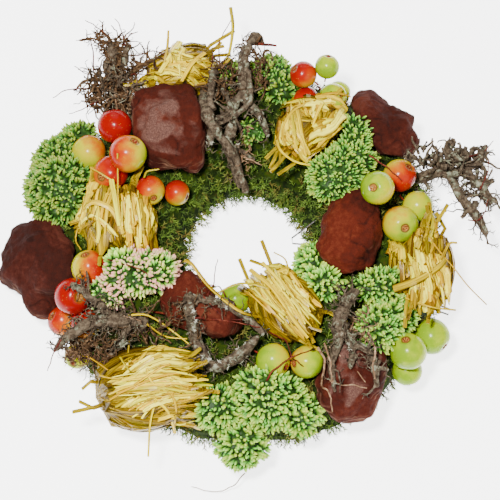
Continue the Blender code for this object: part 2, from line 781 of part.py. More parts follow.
def straw_bundle(number, laid):
    """A folded handful of straw: a mound of straws that lie side by side, some proud and some sunk,
    with loose ends that stick out of it."""
    angle, distance, height, half, heading, loose = STRAWS[number]
    rng = random.Random(200 + number)
    lean = math.degrees((distance - RING_RADIUS) / MOSS_HALF_WIDTH) * 0.45
    axes = leaning(angle, lean, 0) @ Matrix.Rotation(math.radians(heading), 3, "Z")
    corners, faces = straw_shell(STRAW_MERIDIANS, STRAW_BANDS)
    sunk = [STRAW_RIDGE * (k % 2) * rng.uniform(0.6, 1.2) for k in range(STRAW_MERIDIANS)]
    depth = [0.0] + [sunk[i % STRAW_MERIDIANS] for i in range(len(corners) - 2)] + [0.0]
    corners = [axes @ c for c in corners]
    depth = {tuple(c): d for c, d in zip(corners, depth)}

    def reach(corner):
        local = axes.transposed() @ corner
        size = sum(abs(local[i] / half[i]) ** STRAW_FULLNESS for i in range(3)) ** (-1 / STRAW_FULLNESS)
        size *= 1 + 0.12 * noise.noise(local * 2.1 + Vector((number, 0, 0)))
        return size - depth[tuple(corner)]

    centre = laid.raised(polar(angle, distance, height), half[2] * 0.45)
    body = grow(f"straw_bundle_{number + 1}", centre, (corners, faces), reach, laid, "straw")
    blades = []
    for _ in range(loose * STRAW_TRIES):
        if len(blades) == loose:
            break
        across, end = rng.uniform(-0.75, 0.75), rng.choice((-1, 1))
        lift = math.sqrt(1 - across * across) * rng.uniform(0.3, 0.85)
        inside = Vector((0.45 * end * half[0], across * half[1] * 0.55, lift * half[2] * 0.35))
        rim = Vector((0.95 * end * half[0], across * half[1], lift * half[2]))
        along = end * rng.uniform(0.008, 0.022)
        out = rim + Vector((along, rng.uniform(-0.008, 0.008), rng.uniform(-0.004, 0.008)))
        line = [centre + axes @ p for p in (inside, rim, out)]
        blade = free_tube(line, [STRAW_WIDTH / 2] * 3, 4, laid, STRAW_THICK / STRAW_WIDTH)
        if blade:
            blades.append(solid("blade", *blade, "straw"))
    return combine(body, blades, "UNION")


def between(points, spacing):
    """Points every spacing or so along a line."""
    fine = []
    for a, b in zip(points, points[1:]):
        steps = max(1, math.ceil((b - a).length / spacing))
        fine += [a.lerp(b, i / steps) for i in range(steps)]
    return fine + [points[-1]]


def nearest_on(lines, place):
    """The point of some lines that lies nearest to a place, seen from above."""
    best = None
    for points, _ in lines:
        for p in between(points, 0.002):
            off = math.hypot(p.x - place.x, p.y - place.y)
            if best is None or off < best[0]:
                best = (off, p)
    return best[1]


def crooked(route, rng):
    """A route's places, heights and thicknesses, with a knobbly bend in the middle of long stretches."""
    stops = [(polar(a, r), least, radius) for a, r, least, radius in route]
    bent = stops[:1]
    for here, there in zip(stops, stops[1:]):
        if (there[0] - here[0]).length > LONG_STRETCH:
            shift = Vector((rng.uniform(-1, 1), rng.uniform(-1, 1), 0)) * CROOK
            size = (here[2] + there[2]) / 2 * rng.uniform(0.85, 1.25)
            bent.append(((here[0] + there[0]) / 2 + shift, (here[1] + there[1]) / 2, size))
        bent.append(there)
    return bent


def laid_limb(route, laid, parents, sides, rng):
    """A limb's line: each point rests on what is in place, and rises a little at a time where the
    limb would still cut into it. A side limb starts on the middle of the limb that it grows from,
    and a limb whose end can't clear its neighbours is cut short there."""
    points, radii = [], []
    for place, least, radius in crooked(route, rng):
        place.z = least
        points.append(laid.raised(place, radius + GAP))
        radii.append(radius)
    if parents:
        points[0] = nearest_on(parents, points[0])
    lifted = [0.0] * len(points)
    while len(points) > 1:
        swollen, faces = tube(points, [r + GAP for r in radii], sides)
        flat = triangles(faces)
        cut = {i // sides for f in laid.meets(swollen, flat) for i in flat[f]}
        if not cut:
            return points, radii
        for i in cut:
            if i or not parents:
                points[i] = points[i] + Vector((0, 0, SHRINK_STEP))
                lifted[i] += SHRINK_STEP
        if max(lifted) > HIGHEST_LIFT or cut == {0}:
            if not parents and lifted[0] > HIGHEST_LIFT:
                del points[0], radii[0], lifted[0]
            else:
                del points[-1], radii[-1], lifted[-1]
            lifted = [0.0] * len(points)
    return None


def lowered(lines, laid):
    """All limbs of a twig, let down together until one of them touches what is in place."""
    for _ in range(round(HIGHEST_LIFT / FINE_STEP)):
        lower = [([p - Vector((0, 0, FINE_STEP)) for p in points], radii) for points, radii in lines]
        for points, radii in lower:
            if laid.meets(*tube(points, [r + GAP for r in radii], TWIG_SIDES)):
                return lines
        lines = lower
    return lines


def twig(number, laid):
    """A gnarled twig: a few crooked limbs that lie over the wreath, bristling with short twiglets."""
    routes, twiglets, (shortest, longest) = TWIGS[number]
    rng = random.Random(300 + number)
    lines = []
    for route in routes:
        line = laid_limb(route, laid, lines, TWIG_SIDES, rng)
        if line:
            lines.append(line)
    lines = lowered(lines, laid)
    limbs = [solid("limb", *tube(*line, TWIG_SIDES), "twig") for line in lines]
    for _ in range(twiglets * TWIGLET_TRIES):
        if twiglets == 0:
            break
        points, radii = rng.choice(lines)
        spot = rng.uniform(0.02, 0.98) * (len(points) - 1)
        i = min(int(spot), len(points) - 2)
        root = points[i].lerp(points[i + 1], spot - i)
        away = Vector((rng.gauss(0, 1), rng.gauss(0, 1), rng.gauss(0.35, 0.7))).normalized()
        bend = Vector((rng.uniform(-1, 1), rng.uniform(-1, 1), rng.uniform(-0.6, 0.8))) * 0.45
        size = rng.uniform(shortest, longest)
        line = [root, root + away * size * 0.6, root + (away * 0.6 + (away + bend) * 0.4) * size]
        radii = [TWIGLET_RADIUS, TWIGLET_RADIUS * 0.8, TWIGLET_TIP]
        if size < BENT_FROM:
            del line[1], radii[1]
        made = free_tube(line, radii, 3, laid)
        if made:
            limbs.append(solid("twiglet", *made, "twig"))
            twiglets -= 1
    body = limbs[0]
    body.name = f"twig_{number + 1}"
    return keep_biggest(combine(body, limbs[1:], "UNION"))


def pin_line(number):
    """The bent line of a wire pin, from one leg's end in the moss to the other's."""
    angle, height, stand, spread, side = PINS[number]
    inwards = -1 if side == "inner" else 1
    edge = RING_RADIUS + inwards * MOSS_HALF_WIDTH
    swing = math.degrees(spread / edge)
    turn = math.degrees(WIRE_BEND / (edge + inwards * stand))
    return [
        polar(angle + swing, edge - inwards * WIRE_DEPTH, height),
        polar(angle + turn, edge + inwards * stand, height - 0.002),
        polar(angle - turn, edge + inwards * stand, height - 0.003),
        polar(angle - swing * 0.5, edge - inwards * WIRE_DEPTH, height),
    ]


def wire_pin(number):
    """A bent wire that pins the moss to the straw ring, with both legs in the moss."""
    line = pin_line(number)
    return solid(f"wire_pin_{number + 1}", *tube(line, [WIRE_RADIUS] * len(line), 5), "wire")


def hole_cutters():
    """Plain holes in the moss for the sedum stems and for the legs of the wire pins."""
    cutters = []
    for number in range(len(SEDUMS)):
        foot, normal = sedum_foot(number)
        line = [foot - normal * (STEM_DEPTH + HOLE_PLAY), foot + normal * 0.010]
        cutters.append(solid("hole", *tube(line, [STEM_RADIUS + HOLE_PLAY] * 2, 6), "moss"))
    for number in range(len(PINS)):
        line = pin_line(number)
        for tip, bend in ((line[0], line[1]), (line[3], line[2])):
            along = (bend - tip).normalized()
            reach = [tip - along * HOLE_PLAY, tip + along * WIRE_HOLE]
            cutters.append(solid("hole", *tube(reach, [WIRE_RADIUS + HOLE_PLAY] * 2, 6), "moss"))
    return cutters


def middle_of(corners):
    """The middle of the box round some points."""
    low = Vector([min(c[k] for c in corners) for k in range(3)])
    high = Vector([max(c[k] for c in corners) for k in range(3)])
    return (low + high) / 2


def settle(piece, wreath, shift):
    """Moves a finished piece by shift, gives it its own origin in its middle and hangs it on the wreath."""
    middle = middle_of([v.co for v in piece.data.vertices])
    piece.data.transform(Matrix.Translation(-middle))
    piece.location = middle + shift
    piece.parent = wreath
    if piece.name.startswith("crab_apple"):
        piece.data.shade_smooth()
        piece.data.set_sharp_from_angle(angle=math.radians(60))


def main():
    for old in list(bpy.data.objects):
        bpy.data.objects.remove(old)
    laid = Laid()
    pieces = [laid.add(straw_ring())]
    pieces += [laid.add(moss_mat(number, hole_cutters())) for number in range(len(MOSS_MATS))]
    pieces += [laid.add(wire_pin(number)) for number in range(len(PINS))]
    order = ((bark, BARKS), (crab_apple, APPLES), (sedum, SEDUMS), (straw_bundle, STRAWS), (twig, TWIGS))
    for make, table in order:
        pieces += [laid.add(make(number, laid)) for number in range(len(table))]
    wreath = bpy.data.objects.new("wreath", None)
    bpy.context.scene.collection.objects.link(wreath)
    middle = middle_of(laid.points)
    for piece in pieces:
        settle(piece, wreath, Vector((-middle.x, -middle.y, 0)))


main()
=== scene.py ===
"""Dresses the autumn wreath: moss, bark, crab apples, stonecrop, folded straw and lichened twigs."""

import math
import random

import bmesh
import bpy
import numpy as np
from bpy.props import FloatProperty, FloatVectorProperty, IntProperty, PointerProperty
from mathutils import Matrix, Vector, noise
from mathutils.bvhtree import BVHTree


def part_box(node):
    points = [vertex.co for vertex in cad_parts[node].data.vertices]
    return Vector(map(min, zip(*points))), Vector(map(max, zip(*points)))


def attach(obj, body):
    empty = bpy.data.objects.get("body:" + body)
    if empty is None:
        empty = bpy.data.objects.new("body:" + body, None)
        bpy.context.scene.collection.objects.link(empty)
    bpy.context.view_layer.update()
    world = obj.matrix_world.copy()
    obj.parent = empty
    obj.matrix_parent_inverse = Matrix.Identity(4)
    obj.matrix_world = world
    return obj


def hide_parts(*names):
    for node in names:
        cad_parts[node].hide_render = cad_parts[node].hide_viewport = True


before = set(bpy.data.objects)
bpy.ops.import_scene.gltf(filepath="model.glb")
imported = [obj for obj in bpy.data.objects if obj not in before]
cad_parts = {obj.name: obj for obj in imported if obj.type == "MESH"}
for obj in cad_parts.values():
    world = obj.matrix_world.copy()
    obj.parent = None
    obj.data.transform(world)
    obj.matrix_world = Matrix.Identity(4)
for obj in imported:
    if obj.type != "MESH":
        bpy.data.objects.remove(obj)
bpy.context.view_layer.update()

bl_info = {
    "name": "Autumn wreath",
    "version": (1, 0, 0),
    "blender": (4, 5, 0),
    "location": "3D View > Sidebar > Wreath",
    "description": "Makes the moss, bark, fruit, stonecrop, straw and twigs of a table wreath",
    "category": "Object",
}

# The middle of the straw ring, its size, and the lowest height of anything laid on the table
RING_MIDDLE = Vector((-0.00065, 0.0017, 0.0))
RING_RADIUS = 0.105
TABLE_CLEARANCE = 0.0004
UP = Vector((0, 0, 1))

# Routes that are laid over the wreath: from how high above a stop its ground is looked for, how far
# below the stop it still counts, and how far the stop may sink
DRAPE_REACH = 0.1
DRAPE_DEPTH = 0.03
DRAPE_SAG = 0.004

# The seed of Blender's vector noise, which would otherwise come from the clock
NOISE_SEED = 1796089858

# Slabs of bark: how much of their flat top is painted a pale grey pink, partly as wear and partly
# as painted sheen, and how far they are from dark to brown
BARK_LOOKS = (
    (0.95, 0.30), (0.15, 0.0), (0.1, 0.12), (0.0, 0.6), (0.15, 0.40), (0.1, 0.35), (0.95, 0.25),
)

# Bark: the voxels of its mesh, how often its edges are eased, the size and height of its lumps from
# coarse to fine, the depth of its cracks, how far it swells over the solid, and how much the corners
# of the first slab are drawn in, at its upper right and lower left and at the other two
BARK_VOXEL = 0.0013
BARK_EASING = 26
BARK_LUMPS = ((0.0055, 0.00095), (0.0024, 0.00050))
CRACK_DEPTH = 0.0012
BARK_SWELL = 0.0006
CORNER_DRAWS = (0.34, 0.16)

# Crab apples, node by node: their kind, then for each fruit its angle and distance, the direction of
# its calyx, how ripe it is and which way its ripe cheek faces
APPLES = (
    ("orange", (67.5, 0.127, (0.3, -0.5, 0.8), 0.70, (0.2, 0.5, 0.6))),
    ("green", (321.0, 0.164, (0.2, -0.9, -0.3), 0.05, (0.5, 0.5, 0.2))),
    ("orange", (203.0, 0.161, (-0.7, 0.2, 0.6), 0.55, (-0.6, 0.2, 0.4))),
    ("green", (214.0, 0.163, (-0.3, -0.8, 0.5), 0.25, (0.5, 0.5, 0.2))),
    ("orange", (208.0, 0.150, (0.5, -0.4, 0.7), 0.66, (-0.4, 0.4, 0.5))),
    ("green", (259.0, 0.048, (-0.35, 0.85, 0.4), 0.02, (0.5, 0.5, 0.2))),
    ("red", (71.0, 0.141, (-0.7, 0.2, 0.6), 0.72, (-0.5, 0.5, 0.4))),
    ("green", (59.5, 0.149, (0.9, -0.2, 0.1), 0.16, (0.5, -0.5, 0.2))),
    ("green", (66.5, 0.154, (0.1, 0.7, 0.7), 0.08, (0.5, 0.5, 0.2))),
    ("green", (61.0, 0.134, (0.62, -0.05, 0.78), 0.12, (0.7, 0.5, 0.2))),
    (
        "green",
        (332.5, 0.166, (0.7, -0.6, 0.1), 0.03, (0.5, 0.5, 0.2)),
        (323.5, 0.157, (-0.2, 0.5, 0.8), 0.05, (0.5, 0.5, 0.2)),
    ),
    (
        "orange",
        (145.5, 0.071, (0.9, -0.4, 0.1), 0.58, (-0.4, 0.6, 0.5)),
        (154.5, 0.086, (0.3, -0.8, 0.5), 0.56, (-0.7, 0.5, 0.3)),
    ),
    ("orange", (155.0, 0.121, (-0.5, -0.5, 0.7), 0.66, (0.6, 0.1, 0.5))),
    ("yellow", (150.0, 0.149, (-0.6, 0.7, 0.2), 0.36, (0.6, 0.6, 0.1))),
    ("red", (140.5, 0.138, (-0.2, 0.9, 0.3), 0.98, (0.0, 0.2, 1.0))),
    ("orange", (145.5, 0.110, (0.45, 0.5, 0.75), 0.50, (-0.8, 0.0, 0.2))),
    ("red", (192.5, 0.130, (-0.2, 0.6, 0.8), 0.50, (0.9, -0.3, 0.2))),
    ("red", (199.5, 0.148, (0.5, -0.3, 0.8), 0.97, (0.0, 0.3, 1.0))),
    ("green", (11.0, 0.140, (0.8, -0.5, 0.2), 0.18, (-0.5, 0.5, 0.2))),
    ("orange", (23.5, 0.129, (0.55, 0.3, 0.75), 0.50, (0.4, -0.6, 0.4))),
    ("yellow", (16.5, 0.107, (-0.35, -0.3, 0.88), 0.16, (0.9, -0.3, -0.2))),
    ("yellow", (5.5, 0.119, (0.2, -0.55, 0.8), 0.25, (-0.6, 0.6, 0.1))),
    (
        "yellow",
        (281.0, 0.106, (0.8, -0.5, 0.3), 0.20, (0.8, 0.2, -0.3)),
        (293.5, 0.112, (-0.8, -0.2, 0.4), 0.24, (-0.8, 0.4, -0.2)),
    ),
)

# How much riper an apple of each kind is on its sunny cheek
BLUSHES = {"red": 0.34, "orange": 0.34, "yellow": 0.22, "green": 0.10}

# The colour of an apple's skin from unripe to ripe
RIPENESS = (
    (0.0, "#769602"), (0.14, "#98AC02"), (0.32, "#BAAC02"), (0.45, "#B88002"), (0.56, "#B45C02"),
    (0.67, "#AA3602"), (0.80, "#9C1A02"), (1.0, "#860402"),
)

# Apples: the rows and columns of their points, and the thickness of their stalks
APPLE_RINGS = 22
APPLE_SIDES = 36
STALK_RADIUS = 0.0007

# Moss: how far the sides of two mats that meet are pushed out to close their seam, the half width
# and the top of the channel that the straw ring fills, the lowest moss, how near a thing shades it,
# fronds a square metre before the closest are left out, and the fringe: the length of its fronds
# over the common one, how far apart they stand, their number, the lowest of them, and how far their
# seeds are from the other fronds'
SEAM_PUSH = 0.0008
CHANNEL_HALF = 0.0318
CHANNEL_TOP = 0.046
MOSS_FOOT = 0.0035
SHADE_REACH = 0.014
FROND_DENSITY = 170000.0
FRINGE_LENGTH = 1.7
FRINGE_SPACING = 0.0048
FRINGE_DENSITY = 90000.0
FRINGE_FOOT = 0.018
FRINGE_SEED = 20

# Stonecrop heads: how far their tips have turned from green to rose, how much lighter or darker each
# head is painted as a whole, as painted light and shade, how far they swell in metres, and the size
# of their buds
SEDUM_LOOKS = (
    (0.26, 0.68, 0.0045, 0.92), (0.74, 1.62, 0.0020, 1.02), (0.16, 1.03, 0.0030, 1.05),
    (0.0, 0.92, 0.0010, 0.84), (0.0, 1.22, 0.0020, 1.10), (0.10, 0.98, 0.0020, 1.05),
    (0.12, 0.74, 0.0035, 0.95), (0.0, 0.70, 0.0010, 0.90),
)

# Stonecrop: the voxels of the core under the buds, how much it swells from the edge of a cluster of
# buds to its middle and how deep it lies under the solid's surface, how far clusters stand apart
# over their size, buds a square metre before the closest are left out, the most stems of a head,
# how thick they are and how far their ends stand out
SEDUM_VOXEL = 0.0021
CLUSTER_RELIEF = 0.0052
CORE_DEPTH = 0.0030
CLUSTER_GAP = 0.07
BUD_DENSITY = 900000.0
STEM_COUNT = 26
STEM_RADIUS = 0.0009
STEM_END = 0.0014

# Folded straw, bundle by bundle and fan by fan: the number of straws, their width over the common
# one and their tone from ochre to cream, then three lines that the straws start from, pass and end
# at, each from one angle in degrees and distance in millimetres to another
STRAWS = (
    (
        (64, 0.74, 0.64, (112.1, 180), (118.6, 152), (107.5, 158), (113.5, 145), (101.4, 150), (107.3, 131)),
        (12, 0.60, 0.45, (124.9, 165), (126.5, 163), (120.7, 161), (121.4, 158), (115.6, 155), (117.5, 141)),
        (14, 0.85, 0.66, (109.2, 179), (106.6, 174), (111.5, 166), (109.1, 157), (114.7, 153), (110.7, 145)),
    ),
    (
        (54, 1.15, 0.70, (157.3, 115), (160.3, 82), (174.1, 102), (173.1, 75), (186.2, 99), (191.8, 76)),
        (36, 1.45, 0.64, (157.8, 141), (157.6, 114), (170.3, 137), (171.1, 108), (175.2, 140), (189.5, 115)),
        (16, 0.85, 0.60, (174.3, 142), (178.7, 134), (175.0, 123), (177.6, 117), (179.2, 110), (186.4, 106)),
    ),
    (
        (46, 0.62, 0.66, (229.8, 151), (232.6, 158), (232.4, 115), (241.3, 133), (247.3, 104), (253.9, 115)),
        (72, 0.64, 0.60, (227.4, 163), (233.8, 169), (238.2, 137), (243.6, 149), (252.6, 125), (255.5, 137)),
        (60, 0.62, 0.58, (233.2, 173), (241.8, 171), (237.3, 157), (244.4, 159), (245.4, 141), (253.7, 136)),
        (34, 0.66, 0.46, (242.5, 162), (247.0, 164), (248.5, 148), (251.6, 157), (253.9, 138), (256.7, 152)),
    ),
    (
        (82, 0.80, 0.60, (279.4, 29), (322.5, 41), (285.9, 54), (310.8, 66), (293.7, 93), (312.3, 83)),
        (22, 0.85, 0.54, (262.2, 40), (280.3, 27), (275.4, 51), (286.7, 47), (287.6, 72), (293.9, 88)),
        (16, 0.75, 0.50, (304.9, 26), (304.8, 39), (318.3, 35), (315.4, 42), (326.7, 45), (318.3, 53)),
    ),
    (
        (32, 1.45, 0.52, (359.7, 103), (359.4, 122), (351.1, 104), (352.2, 125), (348.9, 107), (344.1, 128)),
        (46, 1.50, 0.58, (351.5, 128), (354.1, 149), (344.0, 132), (347.1, 157), (334.9, 143), (340.3, 171)),
        (22, 1.10, 0.34, (6.8, 139), (7.0, 152), (359.2, 135), (0.7, 151), (352.0, 133), (354.0, 153)),
        (6, 1.20, 0.30, (337.3, 123), (336.5, 128), (343.1, 136), (342.2, 142), (350.4, 151), (349.1, 154)),
    ),
    (
        (36, 1.20, 0.60, (75.2, 110), (71.3, 123), (72.3, 80), (61.6, 89), (65.4, 77), (50.3, 79)),
        (14, 1.80, 0.70, (58.0, 94), (53.3, 86), (54.8, 112), (49.5, 104), (54.6, 139), (50.0, 117)),
        (28, 1.25, 0.58, (74.8, 123), (71.7, 95), (65.0, 129), (59.3, 101), (54.4, 139), (52.8, 111)),
        (15, 1.15, 0.60, (73.2, 126), (61.1, 128), (66.9, 109), (58.5, 114), (60.7, 98), (56.0, 102)),
    ),
)

# The straws under the fans: angle and distance of each bundle's middle, their heading and number
UNDER_STRAWS = (
    (111.0, 0.152, 18, 110), (173.5, 0.101, 92, 125), (237.5, 0.146, 8, 200), (298.0, 0.066, -50, 140),
    (349.0, 0.140, 84, 145), (60.5, 0.101, 55, 120),
)

# The colour of straw from its darkest fibres to its palest; its dark end is also the painted shade
# of the heart, of the straws under the fans and of the blades that lie low
STRAW_TONES = (
    (0.0, "#463608"), (0.20, "#6A5408"), (0.40, "#947C06"), (0.58, "#BC9E04"), (0.76, "#E4C80C"),
    (1.0, "#FFF458"),
)

# Straw: how high a fan is piled, the share of its straws that stick out, the share of a straw at
# each end that dives under the others and how deep it goes, how thick the heart must be under a point
# for it to count as hidden by the fans and be painted dark as shade, the loose straws' width over a
# split straw's, their thickness and how high they lie over the solids, and the angle in degrees from
# which a blade's edges are sharp
FAN_LIFT = 0.0045
FREE_SHARE = 0.16
DIVE_SHARE = 0.14
DIVE_DEPTH = 0.006
HIDDEN_DEPTH = 0.0045
LOOSE_WIDTH = 0.72
LOOSE_THICKNESS = 0.0007
LOOSE_LIFT = 0.0055
CREASE = 14

# Long straws and ribbons of straw that lie over the wreath: width over the common one, tone from
# ochre to cream, then ends and bends as angle in degrees, and distance and height in millimetres
LONG_STRAWS = (
    (0.95, 0.55, (204.6, 54, 74), (212.1, 51, 78), (233.9, 53, 80), (254.6, 64, 94), (266.9, 71, 92),
     (278.7, 69, 74)),
    (0.90, 0.55, (94.0, 197, 78), (93.8, 174, 84), (95.4, 154, 80), (96.8, 147, 66)),
    (0.45, 0.55, (356.6, 144, 88), (354.1, 149, 86), (349.6, 165, 82), (345.5, 179, 77),
     (343.1, 197, 68)),
    (0.45, 0.55, (152.3, 114, 104), (156.8, 111, 98), (165.3, 105, 91)),
    (0.55, 0.55, (152.5, 92, 86), (148.0, 94, 85), (143.7, 87, 80)),
    (0.50, 0.55, (159.4, 114, 88), (158.4, 126, 89), (157.7, 135, 84)),
    (0.50, 0.55, (172.0, 130, 74), (180.0, 137, 68), (187.8, 131, 78)),
    (0.80, 0.55, (115.1, 158, 84), (112.0, 175, 80), (110.3, 187, 78)),
    (0.50, 0.55, (216.2, 164, 54), (218.0, 158, 60), (226.6, 155, 72)),
    (0.60, 0.55, (289.0, 50, 80), (275.0, 44, 84), (259.4, 46, 84), (246.0, 56, 80)),
    (0.45, 0.55, (316.0, 46, 76), (322.0, 38, 80), (318.8, 28, 82)),
    (0.60, 0.62, (232.0, 171, 68), (235.7, 152, 80), (239.9, 132, 87), (242.4, 125, 85)),
    (0.60, 0.74, (236.3, 137, 86), (238.6, 142, 83), (243.0, 146, 80)),
    (0.70, 0.60, (233.3, 164, 76), (238.5, 144, 81), (245.1, 130, 84), (254.7, 118, 60)),
    (0.80, 0.72, (242.7, 153, 79), (247.5, 157, 72), (250.5, 166, 52)),
    (0.70, 0.60, (246.6, 144, 79), (249.2, 152, 73), (249.9, 166, 50)),
    (0.65, 0.62, (243.3, 154, 79), (244.2, 169, 56), (246.6, 191, 56)),
    (0.55, 0.55, (225.5, 162, 69), (228.7, 159, 76), (231.7, 154, 79)),
    (0.50, 0.50, (226.8, 142, 79), (229.6, 144, 81), (232.6, 146, 83)),
    (0.45, 0.55, (222.6, 125, 57), (226.8, 134, 69), (230.6, 142, 81)),
    (0.50, 0.66, (218.5, 116, 86), (223.1, 104, 62), (233.4, 98, 64), (244.1, 101, 76)),
    (0.45, 0.60, (225.7, 110, 62), (232.4, 105, 64), (241.2, 97, 63)),
    (0.60, 0.66, (230.0, 172, 61), (233.2, 160, 77), (236.7, 149, 80)),
    (0.60, 0.70, (234.5, 147, 83), (236.2, 133, 85), (240.9, 121, 84), (246.1, 110, 61)),
    (1.90, 0.44, (337.1, 124, 76), (341.4, 138, 84), (347.6, 152, 81), (350.8, 157, 80)),
    (0.60, 0.50, (336.6, 135, 69), (336.1, 156, 77), (338.5, 175, 77)),
    (0.70, 0.40, (6.8, 143, 67), (1.4, 144, 72), (355.2, 146, 84)),
    (0.80, 0.45, (350.3, 154, 80), (356.5, 160, 71), (357.6, 167, 71)),
    (2.20, 0.86, (58.3, 100, 85), (54.2, 112, 84), (51.2, 127, 71)),
    (0.85, 0.50, (66.1, 76, 74), (71.0, 87, 81), (69.8, 105, 82), (64.6, 119, 83)),
    (0.80, 0.60, (74.1, 86, 71), (67.9, 70, 84), (56.2, 68, 81), (47.2, 75, 76)),
    (0.90, 0.70, (67.9, 92, 86), (60.4, 86, 86), (52.7, 78, 79)),
    (0.90, 0.66, (59.8, 120, 86), (59.2, 108, 88), (58.0, 99, 85)),
    (1.70, 0.76, (108.2, 178, 70), (112.5, 163, 77), (118.1, 151, 81)),
    (1.20, 0.70, (102.7, 157, 77), (107.7, 147, 84), (113.0, 135, 85)),
    (1.30, 0.72, (170.5, 120, 85), (181.1, 116, 84), (185.9, 118, 81)),
    (1.60, 0.62, (173.1, 136, 68), (170.8, 124, 85), (172.8, 107, 87), (183.1, 97, 83)),
    (1.40, 0.80, (159.3, 115, 81), (169.5, 105, 87), (180.0, 100, 87)),
    (1.00, 0.85, (164.7, 91, 85), (174.8, 85, 84), (187.7, 84, 78)),
    (1.10, 0.58, (274.8, 29, 70), (292.4, 52, 76), (295.0, 83, 87), (296.9, 103, 92)),
    (0.90, 0.66, (297.8, 26, 70), (301.5, 57, 79), (300.1, 87, 82)),
    (1.00, 0.70, (267.5, 40, 60), (282.0, 57, 76), (292.1, 78, 85)),
)

# Thin wine-red shoots: thickness in metres at the foot, then ends and bends as those of the straws
SHOOTS = (
    (0.0013, (124.4, 196, 74), (124.0, 210, 76), (125.1, 219, 79), (126.2, 226, 82)),
    (0.0011, (121.5, 192, 72), (120.5, 206, 77), (120.6, 214, 82)),
    (0.0012, (122.8, 192, 72), (119.3, 197, 77), (117.6, 195, 81)),
    (0.0013, (131.6, 190, 68), (128.3, 206, 74), (127.1, 214, 78)),
    (0.0011, (131.0, 182, 68), (133.7, 194, 72), (134.3, 203, 74)),
    (0.0013, (134.0, 178, 68), (139.3, 193, 70), (143.1, 199, 68)),
    (0.0014, (123.5, 186, 72), (119.4, 177, 76), (116.4, 175, 78), (113.4, 167, 80)),
    (0.0011, (133.0, 166, 68), (141.0, 174, 67), (143.7, 181, 62)),
    (0.0010, (129.2, 172, 72), (124.0, 165, 76), (119.5, 155, 76)),
    (0.0013, (99.9, 143, 68), (98.7, 152, 78), (97.8, 167, 79), (93.5, 188, 80)),
    (0.0012, (100.4, 155, 74), (102.1, 140, 78), (104.2, 128, 74)),
    (0.0017, (219.8, 96, 64), (233.0, 88, 82), (242.6, 85, 92), (251.2, 79, 92), (263.2, 77, 91),
     (277.2, 81, 90)),
    (0.0013, (218.9, 86, 70), (232.6, 87, 83), (243.1, 81, 88), (252.0, 74, 90)),
    (0.0013, (239.2, 66, 78), (252.8, 73, 89), (263.0, 75, 91), (271.9, 73, 80)),
    (0.0011, (239.0, 60, 76), (238.2, 51, 78), (234.4, 42, 80), (225.2, 33, 82)),
    (0.0012, (249.3, 48, 50), (240.0, 42, 48), (233.9, 45, 48), (227.9, 52, 60)),
    (0.0016, (277.0, 124, 84), (281.2, 115, 91), (289.5, 109, 88), (298.2, 111, 86)),
    (0.0014, (288.6, 104, 76), (290.3, 116, 86), (295.6, 127, 80)),
    (0.0013, (281.8, 83, 78), (288.2, 95, 88), (288.7, 108, 86)),
    (0.0013, (211.3, 168, 74), (213.0, 180, 68), (215.0, 190, 60)),
    (0.0014, (33.0, 116, 86), (25.6, 123, 88), (18.9, 129, 88)),
    (0.0012, (20.0, 190, 74), (20.1, 202, 77), (21.0, 213, 80)),
    (0.0012, (11.5, 190, 72), (14.8, 200, 74), (17.7, 203, 78)),
    (0.0012, (4.6, 178, 67), (4.5, 186, 66), (6.3, 192, 66), (8.9, 196, 68)),
    (0.0012, (193.0, 112, 88), (200.0, 96, 96), (206.0, 86, 92)),
    (0.0034, (88.0, 163, 80), (84.5, 164, 77), (81.4, 165, 75)),
)

# Pale roots over the lowest slab of bark and along the table, as the shoots
ROOTS = (
    (0.0022, (299.2, 111, 84), (300.2, 120, 84), (297.5, 128, 84), (295.0, 136, 78), (295.7, 144, 76),
     (294.9, 157, 62)),
    (0.0017, (303.1, 110, 84), (300.5, 126, 86), (298.8, 132, 82), (297.6, 141, 79)),
    (0.0014, (303.8, 114, 84), (305.2, 125, 86), (306.7, 138, 82), (306.9, 152, 74)),
    (0.0014, (297.5, 138, 83), (300.2, 143, 80), (303.4, 149, 77), (306.1, 156, 70)),
    (0.0020, (318.5, 125, 86), (314.9, 139, 88), (311.2, 146, 80), (309.3, 155, 70)),
    (0.0010, (269.5, 182, 22), (266.5, 191, 12), (262.6, 196, 6), (257.0, 195, 7)),
    (0.0012, (216.0, 120, 90), (222.0, 112, 88), (229.0, 106, 72)),
)

# Limbs of old wood over the second twig, and stumps on the first, as the shoots
LIMBS = (
    (0.0104, (105.2, 133, 64), (108.5, 106, 88), (107.5, 88, 90), (102.2, 73, 82), (97.2, 59, 70),
     (91.3, 40, 60)),
    (0.0068, (88.0, 170, 80), (89.4, 157, 86), (90.6, 144, 88), (89.6, 128, 90), (88.7, 105, 90),
     (99.5, 92, 90), (105.0, 90, 92)),
    (0.0076, (89.4, 166, 80), (87.4, 169, 80), (85.6, 166, 75)),
    (0.0084, (100.9, 142, 74), (102.7, 129, 84), (104.8, 117, 88), (105.0, 103, 90)),
    (0.0125, (128.7, 180, 60), (127.1, 187, 72), (124.8, 193, 76), (123.3, 197, 76)),
    (0.0090, (124.4, 181, 68), (122.4, 186, 76), (120.9, 190, 77)),
    (0.0048, (98.9, 136, 64), (97.4, 107, 88), (95.4, 94, 88), (92.6, 85, 72)),
    (0.0055, (102.2, 73, 80), (94.5, 73, 68), (86.6, 69, 60)),
    (0.0050, (102.0, 140, 64), (100.6, 130, 72), (104.9, 112, 86)),
)

